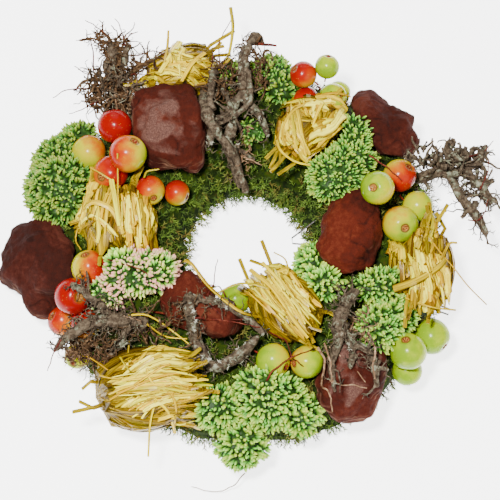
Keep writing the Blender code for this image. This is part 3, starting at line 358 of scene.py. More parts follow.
# Balls of fine roots: angle, distance and height of the middle, its three half sizes in metres, how
# many roots, how long each is, how thick over the common one, and their wood
TANGLES = (
    (132.0, 0.169, 0.066, (0.023, 0.018, 0.014), 130, 0.021, 1.25, "brown"),
    (131.0, 0.170, 0.067, (0.023, 0.018, 0.014), 100, 0.020, 1.35, "grey"),
    (128.5, 0.159, 0.064, (0.016, 0.013, 0.010), 90, 0.020, 1.0, "pale"),
    (122.5, 0.192, 0.074, (0.009, 0.009, 0.007), 50, 0.016, 1.0, "brown"),
    (24.8, 0.157, 0.070, (0.012, 0.008, 0.009), 24, 0.018, 2.7, "grey"),
    (22.0, 0.175, 0.068, (0.014, 0.009, 0.010), 38, 0.020, 2.7, "grey"),
    (19.5, 0.193, 0.066, (0.011, 0.012, 0.010), 32, 0.020, 2.7, "grey"),
    (12.0, 0.190, 0.062, (0.007, 0.012, 0.007), 20, 0.018, 2.7, "grey"),
    (217.0, 0.150, 0.058, (0.024, 0.012, 0.010), 130, 0.020, 1.0, "brown"),
    (213.0, 0.160, 0.046, (0.014, 0.012, 0.012), 60, 0.018, 1.0, "pale"),
    (98.0, 0.125, 0.078, (0.014, 0.022, 0.007), 90, 0.020, 1.1, "brown"),
    (85.5, 0.140, 0.080, (0.008, 0.020, 0.005), 46, 0.018, 1.0, "brown"),
    (89.0, 0.160, 0.077, (0.010, 0.008, 0.005), 24, 0.016, 1.1, "brown"),
    (92.0, 0.075, 0.066, (0.008, 0.018, 0.006), 30, 0.016, 1.0, "pale"),
    (318.0, 0.118, 0.076, (0.014, 0.009, 0.008), 50, 0.020, 1.0, "pale"),
    (240.0, 0.080, 0.080, (0.026, 0.012, 0.008), 60, 0.022, 1.0, "brown"),
    (222.0, 0.108, 0.070, (0.028, 0.012, 0.008), 50, 0.024, 1.0, "brown"),
)

# Twig by twig: their wood, how far their spurs stand apart, how closely roots grow on them, and how
# much lichen they bear
TWIG_LOOKS = (
    ("brown", 0.0031, 1.0, 0.10), ("grey", 0.0085, 0.12, 0.35), ("grey", 0.0058, 0.25, 0.03),
    ("grey", 0.0055, 0.6, 0.05), ("grey", 0.0080, 0.12, 0.75), ("grey", 0.0065, 0.35, 0.10),
)

# Wood: how far bends in shoots and roots lie apart and how wide they are, the same for old limbs,
# the size of an old limb's swellings and their share of its thickness, and the size and height of
# its lumps
SHOOT_BENDS = (0.007, 0.0012)
LIMB_BENDS = (0.011, 0.0022)
LIMB_SWELLINGS = ((0.008, 0.45),)
LIMB_LUMPS = ((0.003, 0.0007),)

# Twigs: how far rootlets stand apart and how many there are a square metre before the closest are
# left out, the same for lichen, the length of a rootlet over a spur's and of a tuft of lichen, the
# thickness of spurs and of tangled roots, the size and height of the knobs from coarse to fine, and
# how far a twig swells over its solid
ROOT_SPACING = 0.0036
SPUR_DENSITY = 120000.0
LICHEN_SPACING = 0.0026
LICHEN_DENSITY = 150000.0
ROOT_LENGTH = 1.5
LICHEN_SIZE = 0.0030
SPUR_RADIUS = 0.0009
TANGLE_RADIUS = 0.0010
KNOBS = ((0.006, 0.0012), (0.0022, 0.0006))
LIMB_SWELL = 0.0004

# The view: the middle of the picture on the wreath, how steeply it is seen in degrees, from how far,
# the width that the picture shows there and the camera's sensor in millimetres
VIEW_MIDDLE = Vector((0.0018, -0.0077, 0.060))
VIEW_RISE = 72
VIEW_DISTANCE = 1.25
VIEW_WIDTH = 0.400
SENSOR = 36

# Lamps, which all face the wreath: place, power in watts and width
LAMPS = {
    "key": ((-0.20, -0.22, 1.40), 46, 0.16),
    "fill": ((0.9, -0.9, 1.0), 6, 1.2),
    "back": ((-0.1, 1.2, 0.9), 6, 1.2),
}
LAMP_TARGET = Vector((0, 0, 0.05))
SKY = "#F2F5FA"
SKY_STRENGTH = 0.22
FLOOR_HALF = 3.0


def polar(angle, distance, height=0.0):
    """A point from its angle round the straw ring in degrees, its distance from the middle and its
    height."""
    turn = math.radians(angle)
    return RING_MIDDLE + Vector((distance * math.cos(turn), distance * math.sin(turn), height))


def stop_at(angle, distance, height=0):
    """A stop of a route, whose distance and height are in millimetres."""
    return polar(angle, distance / 1000, height / 1000)


def from_middle(place):
    """The way from the middle of the straw ring to a place, along the table."""
    return (place - RING_MIDDLE) * Vector((1, 1, 0))


def clamped(value, low=0.0, high=1.0):
    """A value held between two others."""
    return max(low, min(high, value))


def lumps(place, layers):
    """How high a rough surface stands at a place, from the size and height of each layer of lumps."""
    return sum(noise.noise(place / size) * height for size, height in layers)


def wandering(line, bend, width):
    """A line that wanders to and fro, in bends of that length and width."""
    return [p + noise.noise_vector(p / bend) * width for p in line]


def tapered(size, loss, count):
    """Girths along a line, from a size at its foot to less by that share of it at its end."""
    return [size * (1 - loss * i / count) for i in range(count)]


def linear(text):
    """A colour from its sRGB hex text to the linear values that a shader takes."""
    parts = [int(text[i:i + 2], 16) / 255 for i in (1, 3, 5)]
    return [p / 12.92 if p <= 0.04045 else ((p + 0.055) / 1.055) ** 2.4 for p in parts] + [1.0]


def shown(value):
    """A socket's own value, or the output that shows of a node."""
    if isinstance(value, bpy.types.Node):
        return next(out for out in value.outputs if out.enabled)
    return value


def add(tree, kind, sockets=None, stops=None, **settings):
    """Adds a node with its settings, and fills its sockets with values or other nodes' outputs."""
    made = tree.nodes.new(kind)
    for name, value in settings.items():
        setattr(made, name, value)
    if stops:
        made.color_ramp.elements.remove(made.color_ramp.elements[1])
        for number, (place, colour) in enumerate(stops):
            stop = made.color_ramp.elements.new(place) if number else made.color_ramp.elements[0]
            stop.position = place
            stop.color = linear(colour) if isinstance(colour, str) else list(colour)[:3] + [1.0]
    for key, value in (sockets or {}).items():
        value = shown(value)
        if isinstance(key, str):
            socket = next(s for s in made.inputs if s.name == key and s.enabled)
        else:
            socket = made.inputs[key]
        if isinstance(value, bpy.types.NodeSocket):
            tree.links.new(value, socket)
        else:
            socket.default_value = value
    return made


def new_finish(name, **numbers):
    """A material with its tree and shader, and the numbers that are the same all over it."""
    made = bpy.data.materials.new(name)
    made.use_nodes = True
    shader = made.node_tree.nodes["Principled BSDF"]
    shader.inputs["Specular IOR Level"].default_value = 0.12
    for socket, value in numbers.items():
        shader.inputs[socket.replace("_", " ")].default_value = value
    return made, made.node_tree, shader


def join_up(tree, shader, colour, bump=None, roughness=None):
    """Links a colour, and a bump and a roughness where there are any, to the shader."""
    for value, socket in ((colour, "Base Color"), (bump, "Normal"), (roughness, "Roughness")):
        if value is not None:
            tree.links.new(shown(value), shader.inputs[socket])


def moss_finish(looks):
    """Feather moss, freshly gathered: matt fine leaves, near black in the depth and yellow green at
    their tips, with a few strands gone brown."""
    made, tree, shader = new_finish("feather_moss", Roughness=0.8)
    tone, tip = (add(tree, "ShaderNodeAttribute", attribute_name=name).outputs["Fac"]
                 for name in ("tone", "tip"))
    leaf = add(tree, "ShaderNodeValToRGB", {0: tone}, (
        (0.0, "#0A1006"), (0.34, looks.moss_deep), (0.62, "#36561E"), (0.82, looks.moss_fresh),
        (0.90, "#74582C"), (1.0, "#50341C")))
    light = add(tree, "ShaderNodeMath", {0: tip, 1: 0.5}, operation="MULTIPLY")
    tipped = add(tree, "ShaderNodeMix", {"Factor": light, "A": leaf, "B": linear("#7E983E")},
                 data_type="RGBA")
    join_up(tree, shader, tipped)
    return made


def moss_bed_finish():
    """The matted floor of the moss: old stems and leaf mould, dark and matt."""
    made, tree, shader = new_finish("moss_bed", Roughness=0.95)
    place = add(tree, "ShaderNodeTexCoord").outputs["Object"]
    # Clumps of 6 mm
    clumps = add(tree, "ShaderNodeTexNoise", {
        "Vector": place, "Scale": 160.0, "Detail": 6.0, "Roughness": 0.7})
    colour = add(tree, "ShaderNodeValToRGB", {0: clumps}, (
        (0.30, "#080C02"), (0.46, "#162404"), (0.58, "#2A3A06"), (0.70, "#40290C")))
    bump = add(tree, "ShaderNodeBump", {"Height": clumps, "Strength": 0.9, "Distance": 0.002})
    join_up(tree, shader, colour, bump)
    return made


def sedum_finish():
    """Stonecrop buds, fleshy and waxy: deep green at the foot of each bud, partly their own colour and
    partly painted shade between the buds, pale yellow green to its tip, rose where they are about to
    open, each bud a little yellower or bluer than the next, and each head painted lighter or darker as
    a whole, as painted light and shade."""
    made, tree, shader = new_finish("stonecrop_buds", Roughness=0.5)
    shader.inputs["Subsurface Weight"].default_value = 0.10
    shader.inputs["Subsurface Radius"].default_value = (0.002, 0.003, 0.001)
    along, tone, blush, light = (
        add(tree, "ShaderNodeAttribute", attribute_name=name).outputs["Fac"]
        for name in ("tip", "tone", "blush", "light"))
    # Deep green at each bud's foot, partly the bud's own colour and partly painted shade between the buds, to
    # pale at its tip
    bud = add(tree, "ShaderNodeValToRGB", {0: along}, (
        (0.0, "#345E26"), (0.30, "#5E8E3C"), (0.62, "#8CB650"), (0.85, "#ACCE64"), (1.0, "#C6DC80")))
    warmth = add(tree, "ShaderNodeValToRGB", {0: tone}, (
        (0.0, "#96DCB4"), (0.35, "#E0FFD8"), (0.75, "#FFF8B8"), (1.0, "#FFE49C")))
    mixed = add(tree, "ShaderNodeMix", {"Factor": 0.9, "A": bud, "B": warmth}, data_type="RGBA",
                blend_type="MULTIPLY")
    opening = add(tree, "ShaderNodeMath", {0: along, 1: blush}, operation="MULTIPLY")
    rose = add(tree, "ShaderNodeMapRange", {0: opening, 1: 0.25, 2: 0.75})
    tinted = add(tree, "ShaderNodeMix", {"Factor": rose, "A": mixed, "B": linear("#C48880")},
                 data_type="RGBA")
    # Each head's colour is scaled lighter or darker as a whole: painted light and shade
    lit = add(tree, "ShaderNodeVectorMath", {0: tinted, "Scale": light}, operation="SCALE")
    join_up(tree, shader, lit)
    return made


def stem_finish(name, stops):
    """Stonecrop stems: smooth green and bloomed with wax, in patches; given dark stops, it is the painted
    shade of the core where the stems crowd together under the buds.
    """
    made, tree, shader = new_finish(name, Roughness=0.5)
    place = add(tree, "ShaderNodeTexCoord").outputs["Object"]
    # Patches of 4.5 mm
    patches = add(tree, "ShaderNodeTexNoise", {"Vector": place, "Scale": 220.0, "Detail": 2.0})
    colour = add(tree, "ShaderNodeValToRGB", {0: patches}, stops)
    join_up(tree, shader, colour)
    return made


def straw_finish(name, stops):
    """Rye straw, split and dried: a glossy skin with fibres that run along each blade, every blade
    of its own tone between ochre, gold and cream, with painted shade along its edges and at its ends."""
    made, tree, shader = new_finish(name)
    shader.inputs["Specular IOR Level"].default_value = 0.25
    shader.inputs["Specular Tint"].default_value = linear("#FFF0C8")
    along, across, tone = (
        add(tree, "ShaderNodeAttribute", attribute_name=name).outputs["Fac"]
        for name in ("along", "across", "tone"))
    # Fibres about 1 mm wide and half a blade long, and each blade has its own
    shift = add(tree, "ShaderNodeMath", {0: tone, 1: 37.0}, operation="MULTIPLY")
    spot = add(tree, "ShaderNodeCombineXYZ", {0: along, 1: across, 2: shift})
    fibre_place = add(tree, "ShaderNodeMapping", {"Vector": spot, "Scale": (1.4, 7.0, 1.0)})
    fibres = add(tree, "ShaderNodeTexNoise", {"Vector": fibre_place, "Scale": 1.3, "Detail": 4.0,
                                              "Roughness": 0.6})
    streaks = add(tree, "ShaderNodeMath", {0: fibres, 1: 0.5}, operation="SUBTRACT")
    streaked = add(tree, "ShaderNodeMath", {0: streaks, 1: 1.3, 2: tone}, operation="MULTIPLY_ADD")
    # The outer part at each end of a blade is painted a little darker, as shade where it tucks under the
    # others
    off_middle = add(tree, "ShaderNodeMath", {0: along, 1: 0.5}, operation="SUBTRACT")
    to_end = add(tree, "ShaderNodeMath", {0: off_middle}, operation="ABSOLUTE")
    shade = add(tree, "ShaderNodeMapRange", {0: to_end, 1: 0.32, 2: 0.5, 3: 0.0, 4: 0.05})
    bent = add(tree, "ShaderNodeMath", {0: streaked, 1: shade}, operation="SUBTRACT")
    skin = add(tree, "ShaderNodeValToRGB", {0: bent}, stops)
    chance = add(tree, "ShaderNodeTexWhiteNoise", {"W": tone}, noise_dimensions="1D").outputs["Value"]
    hue = add(tree, "ShaderNodeValToRGB", {0: chance}, (
        (0.0, "#E0F07C"), (0.25, "#FFFFFF"), (0.5, "#FFFA90"), (0.75, "#F4EAB0"), (1.0, "#FFE090")))
    hued = add(tree, "ShaderNodeMix", {"Factor": 1.0, "A": skin, "B": hue}, data_type="RGBA",
               blend_type="MULTIPLY")
    # A blade's fold is at 0.5 across it, and its two edges at 0.25 and 0.75, which are painted darker as the
    # shade between the blades
    edges = add(tree, "ShaderNodeValToRGB", {0: across}, (
        (0.25, "#8E7440"), (0.33, "#FFFFFF"), (0.67, "#FFFFFF"), (0.75, "#8E7440")))
    colour = add(tree, "ShaderNodeMix", {"Factor": 1.0, "A": hued, "B": edges}, data_type="RGBA",
                 blend_type="MULTIPLY")
    bump = add(tree, "ShaderNodeBump", {"Height": fibres, "Strength": 0.35, "Distance": 0.0006})
    gloss = add(tree, "ShaderNodeMapRange", {0: fibres, 3: 0.14, 4: 0.42})
    join_up(tree, shader, colour, bump, gloss)
    return made


def straw_ring_finish():
    """A wreath base of wound straw: dull stalks that run round the ring under its twine."""
    made, tree, shader = new_finish("wound_straw", Roughness=0.7)
    place = add(tree, "ShaderNodeTexCoord").outputs["Object"]
    centred = add(tree, "ShaderNodeVectorMath", {0: place, 1: RING_MIDDLE}, operation="SUBTRACT")
    parts = add(tree, "ShaderNodeSeparateXYZ", {0: centred})
    turn = add(tree, "ShaderNodeMath", {0: parts.outputs[1], 1: parts.outputs[0]}, operation="ARCTAN2")
    far = add(tree, "ShaderNodeVectorMath", {0: centred}, operation="LENGTH").outputs["Value"]
    # Stalks 2.5 mm across, and flaws some 25 mm long
    stalks = add(tree, "ShaderNodeCombineXYZ", {0: turn, 1: far, 2: parts.outputs[2]})
    drawn = add(tree, "ShaderNodeMapping", {"Vector": stalks, "Scale": (4.0, 400.0, 400.0)})
    lines = add(tree, "ShaderNodeTexNoise", {"Vector": drawn, "Scale": 1.0, "Detail": 3.0})
    colour = add(tree, "ShaderNodeValToRGB", {0: lines}, (
        (0.3, "#5A4218"), (0.45, "#8E6F2E"), (0.6, "#B8974A"), (0.75, "#CDB56F")))
    bump = add(tree, "ShaderNodeBump", {"Height": lines, "Strength": 0.8, "Distance": 0.001})
    join_up(tree, shader, colour, bump)
    return made


def bark_finish():
    """Old pine bark: stepped corky plates, red brown where they broke, darker on the lower plates and
    near black in the cracks as painted shade, grey pink on their tops that is partly wear from weather
    and handling and partly painted sheen, and thin tan layers at the edges."""
    made, tree, shader = new_finish("pine_bark")
    place = add(tree, "ShaderNodeTexCoord").outputs["Object"]
    plate, worn, warm, edge = (
        add(tree, "ShaderNodeAttribute", attribute_name=name).outputs["Fac"]
        for name in ("plate", "worn", "warm", "edge"))
    # Cork grain of about 1 mm, lumps of 4 mm and clouds of 16 mm
    grain = add(tree, "ShaderNodeTexNoise", {
        "Vector": place, "Scale": 900.0, "Detail": 3.0, "Roughness": 0.6})
    fine = add(tree, "ShaderNodeTexNoise", {
        "Vector": place, "Scale": 260.0, "Detail": 6.0, "Roughness": 0.65})
    broad = add(tree, "ShaderNodeTexNoise", {"Vector": place, "Scale": 60.0, "Detail": 3.0})
    # The plate value darkens the lower plates and the cracks: painted shade
    mixed = add(tree, "ShaderNodeMath", {0: fine, 1: 0.6, 2: plate}, operation="MULTIPLY_ADD")
    dark = add(tree, "ShaderNodeValToRGB", {0: mixed}, (
        (0.35, "#0C0402"), (0.60, "#240C06"), (0.85, "#361209"), (1.0, "#482016")))
    brown = add(tree, "ShaderNodeValToRGB", {0: mixed}, (
        (0.35, "#1A0602"), (0.60, "#441407"), (0.85, "#5C1C0A"), (1.0, "#703018")))
    body = add(tree, "ShaderNodeMix", {"Factor": warm, "A": dark, "B": brown}, data_type="RGBA")
    # Pale grey pink on the upward tops, in patches: partly wear and partly painted sheen
    patch = add(tree, "ShaderNodeMath", {0: worn, 1: broad}, operation="MULTIPLY")
    patched = add(tree, "ShaderNodeMapRange", {0: patch, 1: 0.30, 2: 0.42})
    rubbed_sheen = add(tree, "ShaderNodeValToRGB", {0: grain}, (
        (0.35, "#4A2E26"), (0.55, "#5E3E34"), (0.7, "#725044")))
    crest = add(tree, "ShaderNodeMix", {"Factor": patched, "A": body, "B": rubbed_sheen}, data_type="RGBA")
    # Layers 1.5 mm thick
    squeezed = add(tree, "ShaderNodeMapping", {"Vector": place, "Scale": (70.0, 70.0, 650.0)})
    layers = add(tree, "ShaderNodeTexNoise", {"Vector": squeezed, "Scale": 1.0, "Detail": 4.0})
    strata = add(tree, "ShaderNodeMapRange", {0: layers, 1: 0.52, 2: 0.62})
    seen = add(tree, "ShaderNodeMath", {0: strata, 1: edge}, operation="MULTIPLY")
    layered = add(tree, "ShaderNodeMix", {"Factor": seen, "A": crest, "B": linear("#84604A")},
                  data_type="RGBA")
    rough = add(tree, "ShaderNodeMath", {0: fine, 1: grain}, operation="ADD")
    bump = add(tree, "ShaderNodeBump", {"Height": rough, "Strength": 0.75, "Distance": 0.0009})
    gloss = add(tree, "ShaderNodeMapRange", {0: patched, 3: 0.85, 4: 0.60})
    join_up(tree, shader, layered, bump, gloss)
    return made


def apple_finish(name, stops):
    """Crab apple skin under its natural wax: ground colour and blush that run into each other, pale
    lenticels, and a russet eye round the calyx."""
    made, tree, shader = new_finish(name, Roughness=0.22)
    shader.inputs["Specular IOR Level"].default_value = 0.15
    place = add(tree, "ShaderNodeTexCoord").outputs["Object"]
    ripe, eye = (add(tree, "ShaderNodeAttribute", attribute_name=name).outputs["Fac"]
                 for name in ("ripe", "eye"))
    # Clouds of 8 mm
    cloud = add(tree, "ShaderNodeTexNoise", {"Vector": place, "Scale": 130.0, "Detail": 3.0})
    swing = add(tree, "ShaderNodeMath", {0: cloud, 1: 0.5}, operation="SUBTRACT")
    ground = add(tree, "ShaderNodeMath", {0: swing, 1: 0.45, 2: ripe}, operation="MULTIPLY_ADD")
    skin = add(tree, "ShaderNodeValToRGB", {0: ground}, stops)
    # Lenticels stand about 2 mm apart
    dots = add(tree, "ShaderNodeTexVoronoi", {"Vector": place, "Scale": 420.0})
    speck = add(tree, "ShaderNodeMapRange", {0: dots.outputs["Distance"], 1: 0.14, 2: 0.06, 4: 0.5})
    dotted = add(tree, "ShaderNodeMix", {"Factor": speck, "A": skin, "B": linear("#D8C040")},
                 data_type="RGBA")
    russet = add(tree, "ShaderNodeValToRGB", {0: eye}, (
        (0.0, "#7A4E1C"), (0.25, "#C08A44"), (0.55, "#9A6A2C"), (0.75, "#4E3212"), (1.0, "#7A6A1E")))
    rim = add(tree, "ShaderNodeMapRange", {0: eye, 1: 0.78, 2: 1.0, 3: 1.0, 4: 0.0})
    eyed = add(tree, "ShaderNodeMix", {"Factor": rim, "A": dotted, "B": russet}, data_type="RGBA")
    bump = add(tree, "ShaderNodeBump", {"Height": cloud, "Strength": 0.1, "Distance": 0.0008})
    join_up(tree, shader, eyed, bump)
    return made


def twig_finish(name, stops, lichen):
    """Old heather and fruit wood: grey brown bark with flaws, and pale lichen on what faces the
    light."""
    made, tree, shader = new_finish(name, Roughness=0.85)
    place = add(tree, "ShaderNodeTexCoord").outputs["Object"]
    # Flaws of 3 mm, and crusts of lichen of 10 mm
    flaws = add(tree, "ShaderNodeTexNoise", {
        "Vector": place, "Scale": 300.0, "Detail": 7.0, "Roughness": 0.7})
    wood = add(tree, "ShaderNodeValToRGB", {0: flaws}, stops)
    crust = add(tree, "ShaderNodeTexNoise", {
        "Vector": place, "Scale": 95.0, "Detail": 8.0, "Roughness": 0.75})
    facing = add(tree, "ShaderNodeNewGeometry").outputs["Normal"]
    upward = add(tree, "ShaderNodeSeparateXYZ", {0: facing}).outputs[2]
    grown = add(tree, "ShaderNodeMath", {0: upward, 1: 0.12, 2: crust}, operation="MULTIPLY_ADD")
    mask = add(tree, "ShaderNodeMapRange", {0: grown, 1: 0.72 - 0.2 * lichen, 2: 0.76 - 0.2 * lichen})
    pale = add(tree, "ShaderNodeValToRGB", {0: flaws}, (
        (0.3, "#4A4C3A"), (0.5, "#74765F"), (0.7, "#A6A68E")))
    coated = add(tree, "ShaderNodeMix", {"Factor": mask, "A": wood, "B": pale}, data_type="RGBA")
    bump = add(tree, "ShaderNodeBump", {"Height": flaws, "Strength": 0.9, "Distance": 0.001})
    join_up(tree, shader, coated, bump)
    return made


def shoot_finish(name, stops):
    """Young wood: smooth thin bark, wine red on shoots and tan on bared roots, dull where it aged."""
    made, tree, shader = new_finish(name, Roughness=0.55)
    place = add(tree, "ShaderNodeTexCoord").outputs["Object"]
    # Patches of 4 mm
    patches = add(tree, "ShaderNodeTexNoise", {"Vector": place, "Scale": 260.0, "Detail": 4.0})
    colour = add(tree, "ShaderNodeValToRGB", {0: patches}, stops)
    bump = add(tree, "ShaderNodeBump", {"Height": patches, "Strength": 0.5, "Distance": 0.0004})
    join_up(tree, shader, colour, bump)
    return made


def lichen_finish():
    """Crisp grey green lichen, dry and matt, each tuft of its own tone from dark grey green to pale."""
    made, tree, shader = new_finish("grey_lichen", Roughness=0.9)
    tone = add(tree, "ShaderNodeAttribute", attribute_name="tone").outputs["Fac"]
    colour = add(tree, "ShaderNodeValToRGB", {0: tone}, (
        (0.0, "#484A34"), (0.4, "#6E705A"), (0.8, "#9C9C84"), (1.0, "#C4C2AE")))
    join_up(tree, shader, colour)
    return made


def wire_finish():
    """Annealed florist's wire: a dark oxide skin with a dull shine."""
    made, tree, shader = new_finish("annealed_wire", Metallic=1.0)
    place = add(tree, "ShaderNodeTexCoord").outputs["Object"]
    # Spots of 1 mm
    spots = add(tree, "ShaderNodeTexNoise", {"Vector": place, "Scale": 900.0, "Detail": 4.0})
    colour = add(tree, "ShaderNodeValToRGB", {0: spots}, ((0.35, "#3B3A38"), (0.65, "#77736D")))
    gloss = add(tree, "ShaderNodeMapRange", {0: spots, 3: 0.35, 4: 0.6})
    join_up(tree, shader, colour, None, gloss)
    return made


def floor_finish():
    """A sheet of opal board lit from below, matt, with the faintest cloudiness."""
    made, tree, shader = new_finish("white_board", Roughness=0.9, Emission_Strength=3.6)
    place = add(tree, "ShaderNodeTexCoord").outputs["Object"]
    # Clouds of 300 mm
    cloud = add(tree, "ShaderNodeTexNoise", {"Vector": place, "Scale": 3.0, "Detail": 2.0})
    colour = add(tree, "ShaderNodeValToRGB", {0: cloud}, ((0.3, "#F8F8F7"), (0.7, "#FDFDFC")))
    join_up(tree, shader, colour)
    return made


def new_piece(name, mesh, finish):
    """An object of that mesh in the scene, with one finish."""
    made = bpy.data.objects.new(name, mesh)
    bpy.context.scene.collection.objects.link(made)
    mesh.materials.clear()
    mesh.materials.append(finish)
    return made


def plain(piece):
    """Turns what a piece's modifiers make of it into its own mesh."""
    graph = bpy.context.evaluated_depsgraph_get()
    made = bpy.data.meshes.new_from_object(piece.evaluated_get(graph))
    piece.modifiers.clear()
    piece.data = made
    return piece


def finished(piece, slot, *nodes):
    """Names a finished piece's mesh, and fastens the piece, which stands for those nodes of the
    frame."""
    piece.data.name = piece.name
    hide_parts(*nodes)
    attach(piece, "root")
    return piece


def finished_if_any(piece, slot, *nodes):
    """Finishes a piece of scattered things, or removes it where none of them grew."""
    if piece.data.polygons:
        finished(piece, slot, *nodes)
    else:
        bpy.data.objects.remove(piece)


def whole_copy(node, name, finish):
    """A copy of a node's mesh with its loose triangles joined, to be worked on."""
    piece = new_piece(name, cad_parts[node].data.copy(), finish)
    shape = bmesh.new()
    shape.from_mesh(piece.data)
    bmesh.ops.remove_doubles(shape, verts=shape.verts, dist=2e-6)
    shape.to_mesh(piece.data)
    shape.free()
    return piece


def remeshed(piece, voxel):
    """Gives a piece an even mesh of that voxel size."""
    even = piece.modifiers.new("even", "REMESH")
    even.mode = "VOXEL"
    even.voxel_size = voxel
    finish = piece.data.materials[0]
    plain(piece)
    piece.data.materials.clear()
    piece.data.materials.append(finish)
    return piece


def divided(piece, kind):
    """Divides the faces of a piece twice, by that kind of subdivision."""
    fine = piece.modifiers.new("fine", "SUBSURF")
    fine.subdivision_type = kind
    fine.levels = fine.render_levels = 2
    return plain(piece)


def eased(piece, times):
    """Rounds off a piece's corners and edges."""
    shape = bmesh.new()
    shape.from_mesh(piece.data)
    for _ in range(times):
        bmesh.ops.smooth_vert(
            shape, verts=shape.verts, factor=0.6, use_axis_x=True, use_axis_y=True, use_axis_z=True)
    shape.to_mesh(piece.data)
    shape.free()


def moved_to(piece, places):
    """Moves each corner of a piece to its own place, none of them into the table."""
    for corner, place in zip(piece.data.vertices, places):
        corner.co = place
        corner.co.z = max(corner.co.z, TABLE_CLEARANCE)


def note(mesh, name, values, kind="FLOAT"):
    """Stores one value, or one vector, for each point of a mesh."""
    kept = mesh.attributes.get(name) or mesh.attributes.new(name, kind, "POINT")
    flat = np.asarray(values, np.float32).ravel()
    kept.data.foreach_set("value" if kind == "FLOAT" else "vector", flat)


def tree_of(names):
    """A tree of triangles of some nodes of the frame, to find surfaces with."""
    points, faces = [], []
    for name in names:
        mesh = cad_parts[name].data
        first = len(points)
        points += [v.co.copy() for v in mesh.vertices]
        faces += [[i + first for i in p.vertices] for p in mesh.polygons]
    return BVHTree.FromPolygons(points, faces)


def draped(route, tree, clearance):
    """A route's places, each let down or lifted onto what lies under or over it."""
    places = []
    for stop in route:
        place = stop_at(*stop)
        hit = tree.ray_cast(place + UP * DRAPE_REACH, -UP)[0]
        if hit is not None and place.z - DRAPE_DEPTH < hit.z:
            place.z = max(place.z - DRAPE_SAG, hit.z + clearance)
        places.append(place)
    return places


def new_tree(name, inputs):
    """An empty tree of geometry nodes with its named inputs, and its first and last node."""
    tree = bpy.data.node_groups.new(name, "GeometryNodeTree")
    tree.interface.new_socket("Geometry", in_out="INPUT", socket_type="NodeSocketGeometry")
    for label, kind, value in inputs:
        socket = tree.interface.new_socket(label, in_out="INPUT", socket_type="NodeSocket" + kind)
        if value is not None:
            socket.default_value = value
    tree.interface.new_socket("Geometry", in_out="OUTPUT", socket_type="NodeSocketGeometry")
    return tree, tree.nodes.new("NodeGroupInput"), tree.nodes.new("NodeGroupOutput")


def grown(piece, tree, **values):
    """Runs a tree of geometry nodes on a piece with these inputs, and keeps what it makes."""
    step = piece.modifiers.new("grown", "NODES")
    step.node_group = tree
    for socket in tree.interface.items_tree:
        key = socket.name.lower().replace(" ", "_")
        if socket.in_out == "INPUT" and key in values:
            step[socket.identifier] = values[key]
    return plain(piece)


def scatter_tree():
    """Sets copies of a unit on a surface, closer or wider as the surface's room allows, each turned
    at random about the surface's normal and tipped a little, and keeps them above the table."""
    if "set_on_surface" in bpy.data.node_groups:
        return bpy.data.node_groups["set_on_surface"]
    tree, start, end = new_tree("set_on_surface", (
        ("Unit", "Object", None), ("Spacing", "Float", 0.004), ("Density", "Float", 100000.0),
        ("Small", "Float", 0.8), ("Large", "Float", 1.2), ("Tip", "Float", 0.4), ("Seed", "Int", 1),
        ("Finish", "Material", None)))
    mesh, unit, spacing, density, small, large, tip, seed, finish = start.outputs[:9]
    room = add(tree, "GeometryNodeInputNamedAttribute", {"Name": "room"}, data_type="FLOAT")
    spots = add(tree, "GeometryNodeDistributePointsOnFaces", {
        "Mesh": mesh, "Distance Min": spacing,
        "Density Max": density, "Density Factor": room.outputs[0],
        "Seed": seed}, distribute_method="POISSON")
    less = add(tree, "ShaderNodeMath", {0: tip, 1: -1.0}, operation="MULTIPLY")
    low = add(tree, "ShaderNodeCombineXYZ", {0: less, 1: less, 2: 0.0})
    high = add(tree, "ShaderNodeCombineXYZ", {0: tip, 1: tip, 2: math.tau})
    turn = add(tree, "FunctionNodeRandomValue", {
        "Min": low, "Max": high, "Seed": seed}, data_type="FLOAT_VECTOR")
    spin = add(tree, "FunctionNodeEulerToRotation", {0: turn})
    lie = add(tree, "FunctionNodeRotateRotation", {0: spots.outputs["Rotation"], 1: spin},
              rotation_space="LOCAL")
    size = add(tree, "FunctionNodeRandomValue", {
        "Min": small, "Max": large, "Seed": seed},
        data_type="FLOAT")
    shape = add(tree, "GeometryNodeObjectInfo", {"Object": unit})
    copies = add(tree, "GeometryNodeInstanceOnPoints", {
        "Points": spots.outputs["Points"], "Instance": shape.outputs["Geometry"], "Rotation": lie,
        "Scale": size})
    tone = add(tree, "FunctionNodeRandomValue", {"Seed": seed}, data_type="FLOAT")
    toned = add(tree, "GeometryNodeStoreNamedAttribute", {"Geometry": copies, "Name": "tone", "Value": tone},
                data_type="FLOAT", domain="INSTANCE")
    real = add(tree, "GeometryNodeRealizeInstances", {"Geometry": toned})
    place = add(tree, "ShaderNodeSeparateXYZ", {0: add(tree, "GeometryNodeInputPosition")})
    height = add(tree, "ShaderNodeMath", {0: place.outputs[2], 1: TABLE_CLEARANCE}, operation="MAXIMUM")
    kept = add(tree, "ShaderNodeCombineXYZ", {0: place.outputs[0], 1: place.outputs[1], 2: height})
    above = add(tree, "GeometryNodeSetPosition", {"Geometry": real, "Position": kept})
    coated = add(tree, "GeometryNodeSetMaterial", {"Geometry": above, "Material": finish})
    tree.links.new(coated.outputs[0], end.inputs[0])
    return tree


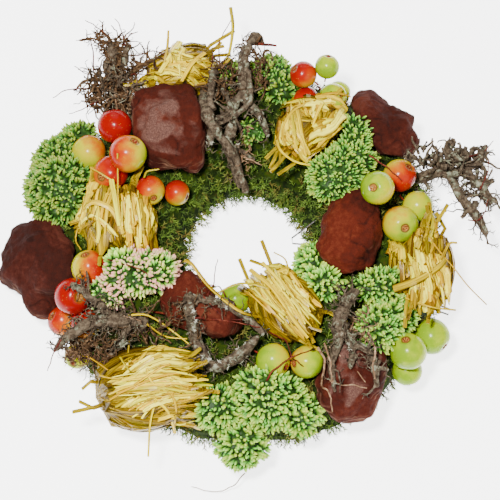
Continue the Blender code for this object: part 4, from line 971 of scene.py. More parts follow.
def strand_tree(flat):
    """Draws strands along guide lines: flat blades that lie as each line's own normal says, or
    round stems. The girth is noted on the lines."""
    name = "blades" if flat else "stems"
    if name in bpy.data.node_groups:
        return bpy.data.node_groups[name]
    tree, start, end = new_tree(name, (
        ("Width", "Float", 0.003), ("Thickness", "Float", 0.0008), ("Sides", "Int", 5),
        ("Finish", "Material", None)))
    line = add(tree, "GeometryNodeMeshToCurve", {0: start.outputs["Geometry"]})
    girth = add(tree, "GeometryNodeInputNamedAttribute", {"Name": "girth"}, data_type="FLOAT")
    if flat:
        lie = add(tree, "GeometryNodeInputNamedAttribute", {"Name": "lie"}, data_type="FLOAT_VECTOR")
        line = add(tree, "GeometryNodeSetCurveNormal", {"Curve": line, "Normal": lie.outputs[0]}, mode="FREE")
    part = add(tree, "GeometryNodeSplineParameter")
    line = add(tree, "GeometryNodeStoreNamedAttribute", {
        "Geometry": line, "Name": "along", "Value": part.outputs["Factor"]},
        data_type="FLOAT", domain="POINT")
    if flat:
        back = add(tree, "ShaderNodeMath", {0: start.outputs["Thickness"], 1: 0.35}, operation="MULTIPLY")
        kite = add(tree, "GeometryNodeCurvePrimitiveQuadrilateral", {
            "Width": start.outputs["Width"], "Top Height": start.outputs["Thickness"],
            "Bottom Height": back}, mode="KITE")
        rim = add(tree, "GeometryNodeTransform", {"Geometry": kite, "Rotation": (0.0, 0.0, -math.pi / 2)})
    else:
        rim = add(tree, "GeometryNodeCurvePrimitiveCircle", {
            "Resolution": start.outputs["Sides"], "Radius": start.outputs["Width"]}, mode="RADIUS")
    edge = add(tree, "GeometryNodeSplineParameter")
    rim = add(tree, "GeometryNodeStoreNamedAttribute", {
        "Geometry": rim, "Name": "across", "Value": edge.outputs["Factor"]},
        data_type="FLOAT", domain="POINT")
    drawn = add(tree, "GeometryNodeCurveToMesh", {
        "Curve": line, "Profile Curve": rim, "Scale": girth.outputs[0], "Fill Caps": True})
    coated = add(tree, "GeometryNodeSetMaterial", {"Geometry": drawn, "Material": start.outputs["Finish"]})
    tree.links.new(coated.outputs[0], end.inputs[0])
    return tree


def guides(name, lines, finish):
    """One mesh of open lines. A line is a list of points, their normals, their girths and one tone."""
    mesh = bpy.data.meshes.new(name)
    points, edges, lies, girths, tones = [], [], [], [], []
    for places, normals, sizes, tone in lines:
        first = len(points)
        points += [tuple(p) for p in places]
        edges += [(first + i, first + i + 1) for i in range(len(places) - 1)]
        lies += [tuple(n) for n in normals]
        girths += list(sizes)
        tones += [tone] * len(places)
    mesh.from_pydata(points, edges, [])
    note(mesh, "lie", lies, "FLOAT_VECTOR")
    note(mesh, "girth", girths)
    note(mesh, "tone", tones)
    return new_piece(name, mesh, finish)


def stems(name, lines, finish, width, sides):
    """A piece of round stems along guide lines, each as thick as that radius and its girths say."""
    piece = guides(name, lines, finish)
    grown(piece, strand_tree(False), width=width, sides=sides, finish=finish)
    piece.data.shade_smooth()
    return piece


def covering(name, mesh, room, finish, **values):
    """A piece of copies of a unit, set all over a mesh as closely as the room at its corners says."""
    piece = new_piece(name, mesh.copy(), finish)
    note(piece.data, "room", room)
    return grown(piece, scatter_tree(), finish=finish, **values)


def squared(places, normals):
    """The normals turned square to a line that runs through some places."""
    made = []
    for i, normal in enumerate(normals):
        ahead = (places[min(i + 1, len(places) - 1)] - places[max(i - 1, 0)]).normalized()
        made.append((normal - ahead * normal.dot(ahead)).normalized())
    return made


def smooth_line(places, steps):
    """A finer line that runs smoothly through some places."""
    full = [places[0] * 2 - places[1]] + list(places) + [places[-1] * 2 - places[-2]]
    line = []
    for i in range(1, len(full) - 2):
        a, b, c, d = full[i - 1:i + 3]
        for k in range(steps):
            t = k / steps
            line.append(0.5 * ((2 * b) + (c - a) * t + (2 * a - 5 * b + 4 * c - d) * t * t
                               + (3 * b - a - 3 * c + d) * t ** 3))
    return line + [places[-1].copy()]


def unit_shape(name, points, faces, tips, finish):
    """A small closed shape that is copied many times, with how near each point is to its tip."""
    mesh = bpy.data.meshes.new(name)
    mesh.from_pydata([tuple(p) for p in points], [], faces)
    mesh.shade_smooth()
    note(mesh, "tip", tips)
    return new_piece(name, mesh, finish)


def needle(points, faces, tips, root, way, length, width, start, stop):
    """Adds one three-sided needle that tapers to a point."""
    side = way.cross(UP if abs(way.z) < 0.9 else Vector((1, 0, 0))).normalized()
    other = way.cross(side)
    first = len(points)
    for k in range(3):
        turn = math.tau * k / 3
        points.append(root + (side * math.cos(turn) + other * math.sin(turn)) * width)
    points.append(root + way * length)
    tips += [start, start, start, stop]
    faces += [(first, first + 2, first + 1)]
    faces += [(first + k, first + (k + 1) % 3, first + 3) for k in range(3)]


def moss_frond(finish, length):
    """A frond of feather moss: a bent stem with short leaves down both sides."""
    rng = random.Random(11)
    points, faces, tips = [], [], []
    bend = Vector((0.42, 0.1, 1.0)).normalized()
    root = Vector((0, 0, -0.1 * length))
    needle(points, faces, tips, root, bend, length, 0.055 * length, 0.0, 1.0)
    for k in range(7):
        share = 0.16 + 0.11 * k
        turn = 2.4 * k
        way = (bend * 0.7 + Vector((math.cos(turn), math.sin(turn), 0.1)) * 0.75).normalized()
        size = length * (0.50 - 0.25 * share) * rng.uniform(0.8, 1.25)
        foot = root + bend * length * share
        needle(points, faces, tips, foot, way, size, 0.048 * length, share, share + 0.3)
    return unit_shape("moss_frond", points, faces, tips, finish)


def sedum_bud(finish, length, width):
    """A closed stonecrop bud: six-sided, widest below its middle and pointed."""
    profile = ((0.0, 0.34, 0.0), (0.30, 0.92, 0.25), (0.55, 1.0, 0.5), (0.82, 0.55, 0.85))
    points, faces, tips = [], [], []
    for height, out, tip in profile:
        for k in range(6):
            turn = math.tau * k / 6
            radius = width / 2 * out
            points.append((radius * math.cos(turn), radius * math.sin(turn), length * height))
            tips.append(tip)
    points.append((0, 0, length))
    tips.append(1.0)
    top = len(points) - 1
    faces.append(tuple(reversed(range(6))))
    for ring in range(len(profile) - 1):
        for k in range(6):
            a, b = ring * 6 + k, ring * 6 + (k + 1) % 6
            faces.append((a, b, b + 6, a + 6))
    faces += [(top - 6 + k, top - 6 + (k + 1) % 6, top) for k in range(6)]
    return unit_shape("stonecrop_bud", points, faces, tips, finish)


def lichen_tuft(finish, size):
    """A tuft of lichen: seven stubby lobes that spread from one foot."""
    points, faces, tips = [], [], []
    for k in range(7):
        turn = 2.4 * k
        way = Vector((math.cos(turn), math.sin(turn), 0.35 + 0.25 * (k % 3))).normalized()
        needle(points, faces, tips, Vector((0, 0, -0.1 * size)), way, size * (0.7 + 0.1 * (k % 4)),
               size * 0.2, 0.0, 1.0)
    return unit_shape("lichen_tuft", points, faces, tips, finish)


def twig_spur(finish, length):
    """A spur of old wood: a crooked shoot with side shoots, all tapering."""
    rng = random.Random(5)
    main = [Vector((0, 0, -0.08)), Vector((0.10, 0.02, 0.25)), Vector((0.02, 0.10, 0.52)),
            Vector((0.16, 0.06, 0.78)), Vector((0.10, -0.02, 1.0))]
    lines = [(main, [UP] * 5, (1.0, 0.85, 0.8, 0.55, 0.3), 0.5)]
    for i, way in enumerate(((0.7, -0.4, 0.35), (-0.6, 0.5, 0.35), (0.5, 0.5, 0.2)), 1):
        tip = main[i] + Vector(way) * rng.uniform(0.4, 0.6)
        middle = main[i].lerp(tip, 0.5) + Vector((0.03, 0.05, 0.06))
        lines.append(([main[i], middle, tip], [UP] * 3, (0.6, 0.5, 0.25), 0.5))
    return strand_unit("twig_spur", lines, finish, length)


def rootlet(finish, length):
    """A thin root that winds away and curls back over what it grows from."""
    places = [Vector((0.0, 0.0, -0.05)), Vector((0.10, 0.06, 0.20)), Vector((0.34, -0.02, 0.36)),
              Vector((0.58, 0.12, 0.30)), Vector((0.80, 0.02, 0.40)), Vector((1.0, 0.16, 0.22))]
    return strand_unit("rootlet", [(places, [UP] * 6, (1.0, 0.8, 0.75, 0.6, 0.5, 0.3), 0.5)], finish, length)


def strand_unit(name, lines, finish, length):
    """A small shape of three-sided strands, drawn along lines of unit length."""
    lines = [([p * length for p in places], lies, sizes, tone) for places, lies, sizes, tone in lines]
    return stems(name, lines, finish, SPUR_RADIUS, 3)


def metres(name, description, value, low, high):
    """A length in the panel, with its usual value and its limits in metres."""
    return FloatProperty(
        name=name, description=description, default=value, min=low, max=high, unit="LENGTH")


class WreathLooks(bpy.types.PropertyGroup):
    """The sizes and colours of the wreath's dressing."""

    frond_length: metres("Frond length", "Length of a moss frond", 0.0085, 0.002, 0.03)
    frond_spacing: metres("Frond spacing", "Least distance between moss fronds", 0.0027, 0.001, 0.02)
    moss_deep: FloatVectorProperty(name="Moss in the depth", description="Colour of shaded moss", size=3,
                                   subtype="COLOR", default=linear("#223614")[:3], min=0, max=1)
    moss_fresh: FloatVectorProperty(name="Fresh moss", description="Colour of young moss", size=3,
                                    subtype="COLOR", default=linear("#6A8228")[:3], min=0, max=1)
    plate_step: metres("Bark plate step", "Height of a step between bark plates", 0.0018, 0, 0.01)
    dimple: FloatProperty(name="Apple dimple", description="Depth of an apple's calyx basin over its radius",
                          default=0.20, min=0, max=0.5)
    bud_length: metres("Bud length", "Length of a stonecrop bud", 0.0060, 0.002, 0.02)
    bud_width: metres("Bud width", "Width of a stonecrop bud", 0.0025, 0.001, 0.01)
    bud_spacing: metres("Bud spacing", "Least distance between stonecrop buds", 0.0018, 0.001, 0.01)
    blade_width: metres("Blade width", "Width of a split straw", 0.0046, 0.001, 0.01)
    blade_thickness: metres(
        "Blade thickness", "Height of the fold along a split straw", 0.0006, 0.0002, 0.003)
    spur_length: metres("Spur length", "Length of a short shoot on a twig", 0.011, 0.002, 0.03)
    cluster: metres("Cluster size", "Size of a cluster of stonecrop buds", 0.014, 0.004, 0.05)
    seed: IntProperty(name="Seed", description="Seed of all that is scattered", default=7, min=0)


class WREATH_OT_ring(bpy.types.Operator):
    """Finishes the wound straw ring and the wire pins, whose solids keep their shape"""

    bl_idname = "wreath.ring"
    bl_label = "Ring and pins"

    def execute(self, context):
        wound, wire = straw_ring_finish(), wire_finish()
        for node, finish in (("straw_ring", wound), ("wire_pin_1", wire), ("wire_pin_2", wire)):
            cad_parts[node].material_slots[0].material = finish
        return {"FINISHED"}


class WREATH_OT_moss(bpy.types.Operator):
    """Makes the matted moss bed, its fronds and the long fringe round the hole"""

    bl_idname = "wreath.moss"
    bl_label = "Moss"

    def execute(self, context):
        looks = context.scene.wreath_looks
        ground, leaf = moss_bed_finish(), moss_finish(looks)
        mats = [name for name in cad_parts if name.startswith("moss_mat")]
        others = tree_of([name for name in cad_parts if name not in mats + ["straw_ring"]])
        unit = moss_frond(leaf, looks.frond_length)
        long_unit = moss_frond(leaf, looks.frond_length * FRINGE_LENGTH)
        for number, mat in enumerate(mats):
            bed = divided(whole_copy(mat, mat + "_bed", ground), "SIMPLE")
            for v in bed.data.vertices:
                if self.beside_next(v):
                    v.co += v.normal * SEAM_PUSH
            fronds = covering(
                mat + "_fronds", bed.data, [self.room_at(v, others) for v in bed.data.vertices], leaf,
                unit=unit, spacing=looks.frond_spacing, density=FROND_DENSITY, small=0.6, large=1.5,
                tip=0.75, seed=looks.seed + number)
            fringe = covering(
                mat + "_fringe", bed.data, [self.fringe_at(v) for v in bed.data.vertices], leaf,
                unit=long_unit, spacing=FRINGE_SPACING, density=FRINGE_DENSITY, small=0.7, large=1.3,
                tip=0.9, seed=looks.seed + FRINGE_SEED + number)
            for piece in (bed, fronds, fringe):
                finished_if_any(piece, "moss", mat)
        bpy.data.objects.remove(unit)
        bpy.data.objects.remove(long_unit)
        return {"FINISHED"}

    def fringe_at(self, corner):
        """How closely the long shaggy fronds grow at a corner: in tufts, round the edge of the hole."""
        place = corner.co
        if from_middle(place).normalized().dot(corner.normal) > -0.45 or place.z < FRINGE_FOOT:
            return 0.0
        return clamped(0.45 + 2.6 * noise.noise(place / 0.014))

    def beside_next(self, corner):
        """Whether a corner is on a side of its mat that faces the next mat."""
        outwards = from_middle(corner.co).normalized()
        return abs(UP.cross(outwards).dot(corner.normal)) > 0.8

    def room_at(self, corner, others):
        """How closely moss grows at a corner: not where the mat lies on the straw ring, the table or
        the next mat, and thinly under other things."""
        place, normal = corner.co, corner.normal
        across = from_middle(place).length - RING_RADIUS
        on_ring = abs(across) < CHANNEL_HALF and place.z < CHANNEL_TOP
        if on_ring or self.beside_next(corner) or place.z < MOSS_FOOT:
            return 0.0
        covered = others.ray_cast(place + normal * 0.001, normal, SHADE_REACH)[0] is not None
        clump = clamped(0.75 + 1.6 * noise.noise(place / 0.012), 0.25)
        return 0.30 * clump if covered else clump


def plate_height(place, seed):
    """How high a bark plate stands at a place, in steps, from 0 to 1, and how deep its cracks are."""
    drift = Vector((seed * 3.1, seed * 1.7, 0))
    # Plates of 34 mm with bays of 11 mm, in three steps
    broad = 0.5 + 0.80 * noise.noise(place / 0.034 + drift) + 0.16 * noise.noise(place / 0.011 - drift)
    steps = 3 * clamped(broad)
    base = math.floor(steps)
    rise = clamped((steps - base - 0.40) / 0.2)
    level = (base + rise) / 3
    rare = max(0.0, noise.noise(place / 0.026 - drift) - 0.12)
    crack = max(0.0, 1 - abs(noise.noise(place / 0.017 + drift * 2)) / 0.045) * min(1.0, rare * 3)
    return level, crack


class WREATH_OT_bark(bpy.types.Operator):
    """Makes the slabs of pine bark with their stepped plates and cracks"""

    bl_idname = "wreath.bark"
    bl_label = "Bark"

    def execute(self, context):
        looks = context.scene.wreath_looks
        finish = bark_finish()
        for number, (worn, warm) in enumerate(BARK_LOOKS, 1):
            node = f"bark_{number}"
            piece = remeshed(whole_copy(node, f"{node}_slab", finish), BARK_VOXEL)
            eased(piece, BARK_EASING)
            if number == 1:
                self.egg(piece)
            plate_shades, worn_sheen_tops, edges, moved = [], [], [], []
            for v in piece.data.vertices:
                level, crack = plate_height(v.co, number)
                fine = lumps(v.co, BARK_LUMPS)
                lift = looks.plate_step * (level - 0.4) - CRACK_DEPTH * crack + fine + BARK_SWELL
                # Lower plates are painted darker and cracks near black, as painted shade
                plate_shades.append(0.30 + 0.40 * level - 0.3 * crack)
                # Faces turned up are painted pale grey pink as far as the slab is worn: partly wear and
                # partly painted sheen
                worn_sheen_tops.append(worn * clamped((v.normal.z - 0.55) * 3) * (0.4 + 0.6 * level))
                edges.append(clamped((0.62 - v.normal.z) * 3) * (0.25 + 0.55 * worn))
                moved.append(v.co + v.normal * lift)
            moved_to(piece, moved)
            note(piece.data, "plate", plate_shades)
            note(piece.data, "worn", worn_sheen_tops)
            note(piece.data, "edge", edges)
            note(piece.data, "warm", [warm] * len(plate_shades))
            piece.data.shade_smooth()
            finished(piece, "bark", node)
        return {"FINISHED"}

    def egg(self, piece):
        """Draws in the corners of a squarish slab, most at its upper right and lower left."""
        points = np.array([v.co for v in piece.data.vertices])
        middle = Vector((points.max(axis=0) + points.min(axis=0)) / 2)
        half = (points.max(axis=0) - points.min(axis=0)) / 2
        for v in piece.data.vertices:
            across = (v.co.x - middle.x) / half[0]
            along = (v.co.y - middle.y) / half[1]
            corner = across * along
            draw = (CORNER_DRAWS[0] * max(0.0, corner) ** 1.3
                    + CORNER_DRAWS[1] * max(0.0, -corner) ** 1.3)
            v.co.x -= (v.co.x - middle.x) * draw * 0.75
            v.co.y -= (v.co.y - middle.y) * draw * 0.45


def balls_of(node, spots):
    """The middle and radius of each ball of a node, near those spots as angle and distance."""
    points = np.array([v.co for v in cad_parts[node].data.vertices], float)
    near = np.array([polar(*spot)[:2] for spot in spots])
    owner = np.linalg.norm(points[:, None, :2] - near, axis=2).argmin(axis=1)
    balls = []
    for number in range(len(spots)):
        own = points[owner == number]
        # Each round leaves out the points that lie furthest off the ball, such as the calyx basin's
        for _ in range(5):
            rows = np.c_[2 * own, np.ones(len(own))]
            found = np.linalg.lstsq(rows, (own ** 2).sum(1), rcond=None)[0]
            middle = found[:3]
            radius = math.sqrt(found[3] + middle @ middle)
            off = np.abs(np.linalg.norm(own - middle, axis=1) - radius)
            own = own[off <= max(np.quantile(off, 0.85), 1e-5)]
        balls.append((Vector(middle), radius))
    return balls


def apple_skin(ball, calyx, ripe, cheek, blush, dimple, drift):
    """A crab apple's points, faces, ripeness and nearness to its eye: a ball with five faint ribs,
    the calyx basin and the stalk's hollow."""
    middle, radius = ball
    turn = UP.rotation_difference(calyx).to_matrix()
    rings, sides = APPLE_RINGS, APPLE_SIDES
    # All lengths are shares of the radius
    points, ripes, eyes = [], [], []
    for i in range(rings + 1):
        t = math.pi * i / rings
        out = math.sin(t)
        basin = dimple * math.exp(-(out / 0.24) ** 2)
        hollow = 0.26 * math.exp(-(out / 0.20) ** 2)
        up = math.cos(t) - (basin if t < math.pi / 2 else -hollow)
        for k in range(sides if 0 < i < rings else 1):
            s = math.tau * k / sides
            ribs = 1 + 0.018 * math.cos(5 * s) * (0.4 + math.cos(t) ** 2)
            local = Vector((out * math.cos(s) * ribs, out * math.sin(s) * ribs, up))
            local *= 1 + 0.025 * noise.noise(local * 1.2 + drift)
            points.append(middle + turn @ local * radius)
            facing = (turn @ local).normalized().dot(cheek)
            ripes.append(ripe + blush * (facing + 0.3 * noise.noise(local * 1.6 + drift)))
            eyes.append(min(1.0, out / 0.30) if t < math.pi / 2 else 1.0)
    last = len(points) - 1
    faces = []
    for k in range(sides):
        n = (k + 1) % sides
        faces.append((0, 1 + k, 1 + n))
        faces.append((last, last - sides + n, last - sides + k))
        for i in range(rings - 2):
            a = 1 + i * sides
            faces.append((a + k, a + sides + k, a + sides + n, a + n))
    return points, faces, ripes, eyes


class WREATH_OT_apples(bpy.types.Operator):
    """Makes the crab apples, their dried calyces and their stalks"""

    bl_idname = "wreath.apples"
    bl_label = "Crab apples"

    def execute(self, context):
        looks = context.scene.wreath_looks
        skins = {kind: apple_finish(f"waxy_skin_{kind}", RIPENESS) for kind in BLUSHES}
        wood = shoot_finish("apple_stalk", ((0.35, "#4A120A"), (0.5, "#7A2210"), (0.65, "#8C5A22")))
        stalks = []
        for number, (kind, *fruits) in enumerate(APPLES, 1):
            node = f"crab_apple_{number:02d}"
            balls = balls_of(node, [fruit[:2] for fruit in fruits])
            points, faces, ripes, eyes = [], [], [], []
            for ball, (_, _, calyx, ripe, cheek) in zip(balls, fruits):
                calyx, cheek = Vector(calyx).normalized(), Vector(cheek).normalized()
                drift = Vector((number * 2.3 + len(points), 0, 0))
                skin = apple_skin(ball, calyx, ripe, cheek, BLUSHES[kind], looks.dimple, drift)
                faces += [[i + len(points) for i in face] for face in skin[1]]
                points += skin[0]
                ripes += skin[2]
                eyes += skin[3]
                stalks += self.eye_and_stalk(ball, calyx, random.Random(number))
            if len(balls) > 1:
                ends = [ball[0] for ball in balls]
                stalks.append((ends, [UP, UP], [3.0, 3.0], 0.5))
            mesh = bpy.data.meshes.new(node + "_fruit")
            mesh.from_pydata([tuple(p) for p in points], [], faces)
            note(mesh, "ripe", ripes)
            note(mesh, "eye", eyes)
            mesh.shade_smooth()
            finished(new_piece(node + "_fruit", mesh, skins[kind]), f"{kind}_apple", node)
        finished(stems("apple_stalks", stalks, wood, STALK_RADIUS, 5), "twig")
        return {"FINISHED"}

    def eye_and_stalk(self, ball, calyx, rng):
        """The five dried sepals round an apple's eye, and its stalk, as guide lines."""
        middle, radius = ball
        side = calyx.cross(UP).normalized()
        lines = []
        for k in range(5):
            out = Matrix.Rotation(math.tau * k / 5, 3, calyx) @ side
            root = middle + calyx * radius * 0.80 + out * radius * 0.07
            tip = root + (calyx * 0.20 + out * 0.10) * radius * rng.uniform(0.5, 1.0)
            lines.append(([root, root.lerp(tip, 0.6), tip], [out] * 3, (0.8, 0.7, 0.2), 0.5))
        sag = Vector((rng.uniform(-0.2, 0.2), rng.uniform(-0.2, 0.2), 0.3))
        line = [middle - calyx * radius * 0.70, middle - calyx * radius * 1.05,
                middle + (sag * 0.5 - calyx * 1.35) * radius, middle + (sag - calyx * 1.6) * radius]
        lines.append((smooth_line(line, 3), [UP] * 10, [1.0] * 9 + [1.5], 0.5))
        return lines


class WREATH_OT_sedum(bpy.types.Operator):
    """Makes the heads of stonecrop: a core of stems, and buds set close all over it"""

    bl_idname = "wreath.sedum"
    bl_label = "Stonecrop"

    def execute(self, context):
        looks = context.scene.wreath_looks
        finish = sedum_finish()
        # The core under the buds is painted deep green, as painted shade between the buds
        heart = stem_finish("stonecrop_heart", ((0.3, "#142408"), (0.55, "#243E14"), (0.75, "#3A5A22")))
        green = stem_finish("stonecrop_stem", ((0.3, "#3F7030"), (0.55, "#6FA24A"), (0.75, "#9CC470")))
        bud = sedum_bud(finish, looks.bud_length, looks.bud_width)
        for number, (blush, light, swell, size) in enumerate(SEDUM_LOOKS, 1):
            node = f"sedum_head_{number}"
            core = remeshed(whole_copy(node, node + "_core", heart), SEDUM_VOXEL)
            moved, room = [], []
            low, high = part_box(node)
            for v in core.data.vertices:
                near, next_near = noise.voronoi(v.co / looks.cluster)[0][:2]
                moved.append(v.co + v.normal * (CLUSTER_RELIEF * (0.45 - near) - CORE_DEPTH + swell))
                share = (v.co.z - low.z) / (high.z - low.z)
                below = v.normal.z < -0.80 or share < 0.06
                under = v.normal.z < -0.45 or share < 0.15
                between = next_near - near < CLUSTER_GAP
                room.append(0.0 if below else 0.45 if under else 0.30 if between else 1.0)
            moved_to(core, moved)
            buds = covering(
                node + "_buds", core.data, room, finish, unit=bud, spacing=looks.bud_spacing,
                density=BUD_DENSITY, small=0.70 * size, large=1.25 * size, tip=0.45,
                seed=looks.seed + number)
            drift = Vector((number * 5.1, 0, 0))
            note(buds.data, "blush", [
                clamped(blush + 1.3 * blush * noise.noise(v.co / 0.022 + drift))
                for v in buds.data.vertices])
            # How much lighter or darker this head is painted as a whole, as painted light and shade
            note(buds.data, "light", [light] * len(buds.data.vertices))
            core.data.shade_smooth()
            stalks = self.stems_of(core, node, looks.seed + number, green)
            for piece in (core, buds, stalks):
                finished(piece, "sedum", node)
        bpy.data.objects.remove(bud)
        return {"FINISHED"}

    def stems_of(self, core, node, seed, finish):
        """Stems that part from the foot of a head and rise to its flanks."""
        rng = random.Random(seed)
        low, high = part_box(node)
        middle = (low + high) / 2
        flanks = [v for v in core.data.vertices if -0.6 < v.normal.z < 0.25 and v.co.z > low.z + 0.012]
        lines = []
        for v in rng.sample(flanks, min(STEM_COUNT, len(flanks))):
            foot = middle.lerp(v.co, 0.25)
            foot.z = low.z + 0.25 * (v.co.z - low.z)
            knee = foot.lerp(v.co, 0.55) - UP * 0.002
            tip = v.co + v.normal * STEM_END
            places = smooth_line([foot, knee, tip], 3)
            lines.append((places, [UP] * len(places), [1.0] * (len(places) - 1) + [0.7], rng.random()))
        return stems(node + "_stems", lines, finish, STEM_RADIUS, 5)


def under_blade(tree, middle, axes, rng):
    """One straw of the mound under the fans, which runs over it from end to end."""
    along, side = axes
    # In degrees: where it starts and stops from one end of the mound to the other, its lane across
    # the mound, and how far it leaves its lane
    start, stop = rng.uniform(5, 60), rng.uniform(110, 176)
    lane = rng.uniform(-48, 228)
    skew = rng.gauss(0, 9)
    lift = rng.uniform(0.0002, 0.0014)
    places, normals = [], []
    steps = 10
    for i in range(steps):
        share = i / (steps - 1)
        theta = math.radians(start + (stop - start) * share)
        phi = math.radians(lane + skew * (share - 0.5) * 2)
        way = along * math.cos(theta) + (side * math.cos(phi) + UP * math.sin(phi)) * math.sin(theta)
        hit, normal = tree.ray_cast(middle, way, 0.09)[:2]
        if hit is None:
            continue
        normal = normal if normal.dot(way) > 0 else -normal
        normal = (normal * 0.3 + way).normalized()
        places.append(hit + normal * lift)
        normals.append(normal)
    if len(places) < 5:
        return None
    even = [places[0]] + [
        places[i] * 0.5 + (places[i - 1] + places[i + 1]) * 0.25 for i in range(1, len(places) - 1)
    ] + [places[-1]]
    roll = Matrix.Rotation(rng.gauss(0, 0.35), 3, (even[-1] - even[0]).normalized())
    width = rng.choice((0.6, 0.8, 1.0, 1.2)) * rng.uniform(0.85, 1.15)
    sizes = [width * rng.uniform(0.9, 1.06) for _ in even]
    sizes[-1] *= 0.5
    return even, squared(even, [roll @ n for n in normals]), sizes


def fan_blade(tree, lines, share, rng):
    """One split straw of a fan at that share of its width, and how high it lies from 0 to 1: it
    comes out from under the mound, follows it with a kink, and goes in again or sticks out."""
    spots = [one.lerp(other, clamped(share + rng.gauss(0, 0.05))) for one, other in lines]
    ahead = (spots[2] - spots[0]).normalized()
    spots[0] = spots[0] + ahead * rng.uniform(-0.003, 0.010)
    spots[2] = spots[2] - ahead * rng.uniform(-0.003, 0.010)
    free = rng.random() < FREE_SHARE
    if free:
        spots[2] = spots[2] + ahead * rng.uniform(0.002, 0.009)
    plan = smooth_line([spot + Vector((rng.gauss(0, 0.0012), rng.gauss(0, 0.0012), 0)) for spot in spots], 5)
    hits = [tree.ray_cast(place + UP * 0.2, -UP)[:2] for place in plan]
    known = [i for i, hit in enumerate(hits) if hit[0] is not None]
    if not known:
        return None
    lift = FAN_LIFT * rng.random() ** 1.2
    heights, normals = [], []
    for i, place in enumerate(plan):
        near = min(known, key=lambda k: abs(k - i))
        spot, normal = hits[near]
        heights.append(spot.z + lift - 0.8 * (place - plan[near]).length)
        normals.append((normal * 0.6 + UP).normalized())
    last = len(plan) - 1
    kink = rng.randint(2, last - 2)
    side = UP.cross(ahead)
    fold = rng.gauss(0, 0.0010)
    places = []
    for i, place in enumerate(plan):
        before, after = heights[max(i - 1, 0)], heights[min(i + 1, last)]
        height = 0.5 * heights[i] + 0.25 * (before + after) + 0.0004 * math.sin(2.3 * i + 9 * share)
        height -= DIVE_DEPTH * max(0.0, DIVE_SHARE - i / last) / DIVE_SHARE
        if not free:
            height -= DIVE_DEPTH * max(0.0, i / last - (1 - DIVE_SHARE)) / DIVE_SHARE
        bent = fold * max(0.0, 1 - abs(i - kink) / 2.5)
        places.append(Vector((place.x, place.y, max(height, 0.03))) + side * bent)
    twist = rng.gauss(0, 0.42)
    turned = [
        Matrix.Rotation(twist + (0.35 if i > kink else 0.0), 3, ahead) @ normal
        for i, normal in enumerate(normals)]
    width = rng.choice((0.4, 0.6, 0.8, 0.95, 1.15, 1.45)) * rng.uniform(0.85, 1.15)
    sizes = [width * rng.uniform(0.9, 1.06) for _ in places]
    sizes[0] *= 0.7
    sizes[-1] *= 0.4
    return places, squared(places, turned), sizes, lift / FAN_LIFT


class WREATH_OT_straw(bpy.types.Operator):
    """Makes the folded handfuls of straw and the long loose straws"""

    bl_idname = "wreath.straw"
    bl_label = "Straw"

    def execute(self, context):
        looks = context.scene.wreath_looks
        gold = straw_finish("split_straw", STRAW_TONES)
        for number, (fans, under) in enumerate(zip(STRAWS, UNDER_STRAWS), 1):
            node = f"straw_bundle_{number}"
            rng = random.Random(looks.seed * 100 + number)
            core = whole_copy(node, node + "_heart", gold)
            low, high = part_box(node)
            solid = tree_of([node])
            # The heart is painted dark as shade where the fans hide it and where it faces down; its along is
            # stretched so that the painted end shade darkens most of it, and its across gives it stripes of
            # the painted edge shade
            note(core.data, "tone", [
                0.10 if solid.ray_cast(v.co - UP * HIDDEN_DEPTH, -UP)[0] or v.normal.z < -0.3 else 0.44
                for v in core.data.vertices])
            note(core.data, "along", [v.co.x * 40 for v in core.data.vertices])
            note(core.data, "across", [0.5 + 0.2 * math.sin(v.co.y * 900) for v in core.data.vertices])
            lines = []
            angle, distance, heading, number_under = under
            heart = polar(angle, distance, low.z + 0.42 * (high.z - low.z))
            turn = math.radians(heading)
            along = Vector((math.cos(turn), math.sin(turn), 0))
            for _ in range(number_under):
                made = under_blade(solid, heart, (along, UP.cross(along)), rng)
                if made:
                    # The straws of the mound under the fans are painted darker, as shade under the fans
                    lines.append((*made, clamped(rng.gauss(0.30, 0.14), 0.05, 0.6)))
            for count, wide, tone, *ends in fans:
                ends = [stop_at(*end) for end in ends]
                rails = list(zip(ends[0::2], ends[1::2]))
                for _ in range(count):
                    made = fan_blade(solid, rails, rng.random(), rng)
                    if made:
                        places, normals, sizes, height = made
                        sizes = [size * wide for size in sizes]
                        # Blades that lie higher are painted lighter and lower ones darker: painted light and
                        # shade in the pile
                        toned = rng.gauss(tone - 0.22 + 0.46 * height, 0.22)
                        lines.append((places, normals, sizes, clamped(toned, 0.10, 0.97)))
            blades = self.drawn(node + "_blades", lines, looks.blade_width, looks.blade_thickness, gold)
            finished(core, "straw", node)
            finished(blades, "straw", node)
        everything = tree_of(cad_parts)
        lines = []
        for width, tone, *route in LONG_STRAWS:
            places = smooth_line(draped(route, everything, LOOSE_LIFT), 4)
            normals = squared(places, [UP] * len(places))
            sizes = tapered(LOOSE_WIDTH * width, 0.35, len(places))
            lines.append((places, normals, sizes, tone + 0.003 * len(lines)))
        finished(self.drawn("loose_straws", lines, looks.blade_width, LOOSE_THICKNESS, gold), "straw")
        return {"FINISHED"}

    def drawn(self, name, lines, width, thickness, finish):
        """Blades along guide lines, smooth along their length and creased down their middle."""
        blades = guides(name, lines, finish)
        grown(blades, strand_tree(True), width=width, thickness=thickness, finish=finish)
        blades.data.shade_smooth()
        blades.data.set_sharp_from_angle(angle=math.radians(CREASE))
        return blades


def tangle_line(middle, half, rng, length):
    """A fine root that winds round in a ball of roots, with a few that stick out of it."""
    way = Vector([rng.gauss(0, 1) for _ in range(3)]).normalized()
    place = middle + way * half * rng.uniform(0.45, 1.0)
    ahead = way.cross(Vector([rng.gauss(0, 1) for _ in range(3)])).normalized() + way * rng.uniform(-0.1, 0.7)
    steps = 7
    places = [place]
    for _ in range(steps):
        outside = (place - middle).length / half.length > 0.75
        pull = (middle - place).normalized() * (0.25 if outside else 0.0)
        ahead = (ahead + pull + Vector([rng.gauss(0, 0.42) for _ in range(3)])).normalized()
        place = place + ahead * (length / steps)
        place.z = max(place.z, 0.004)
        places.append(place)
    return places


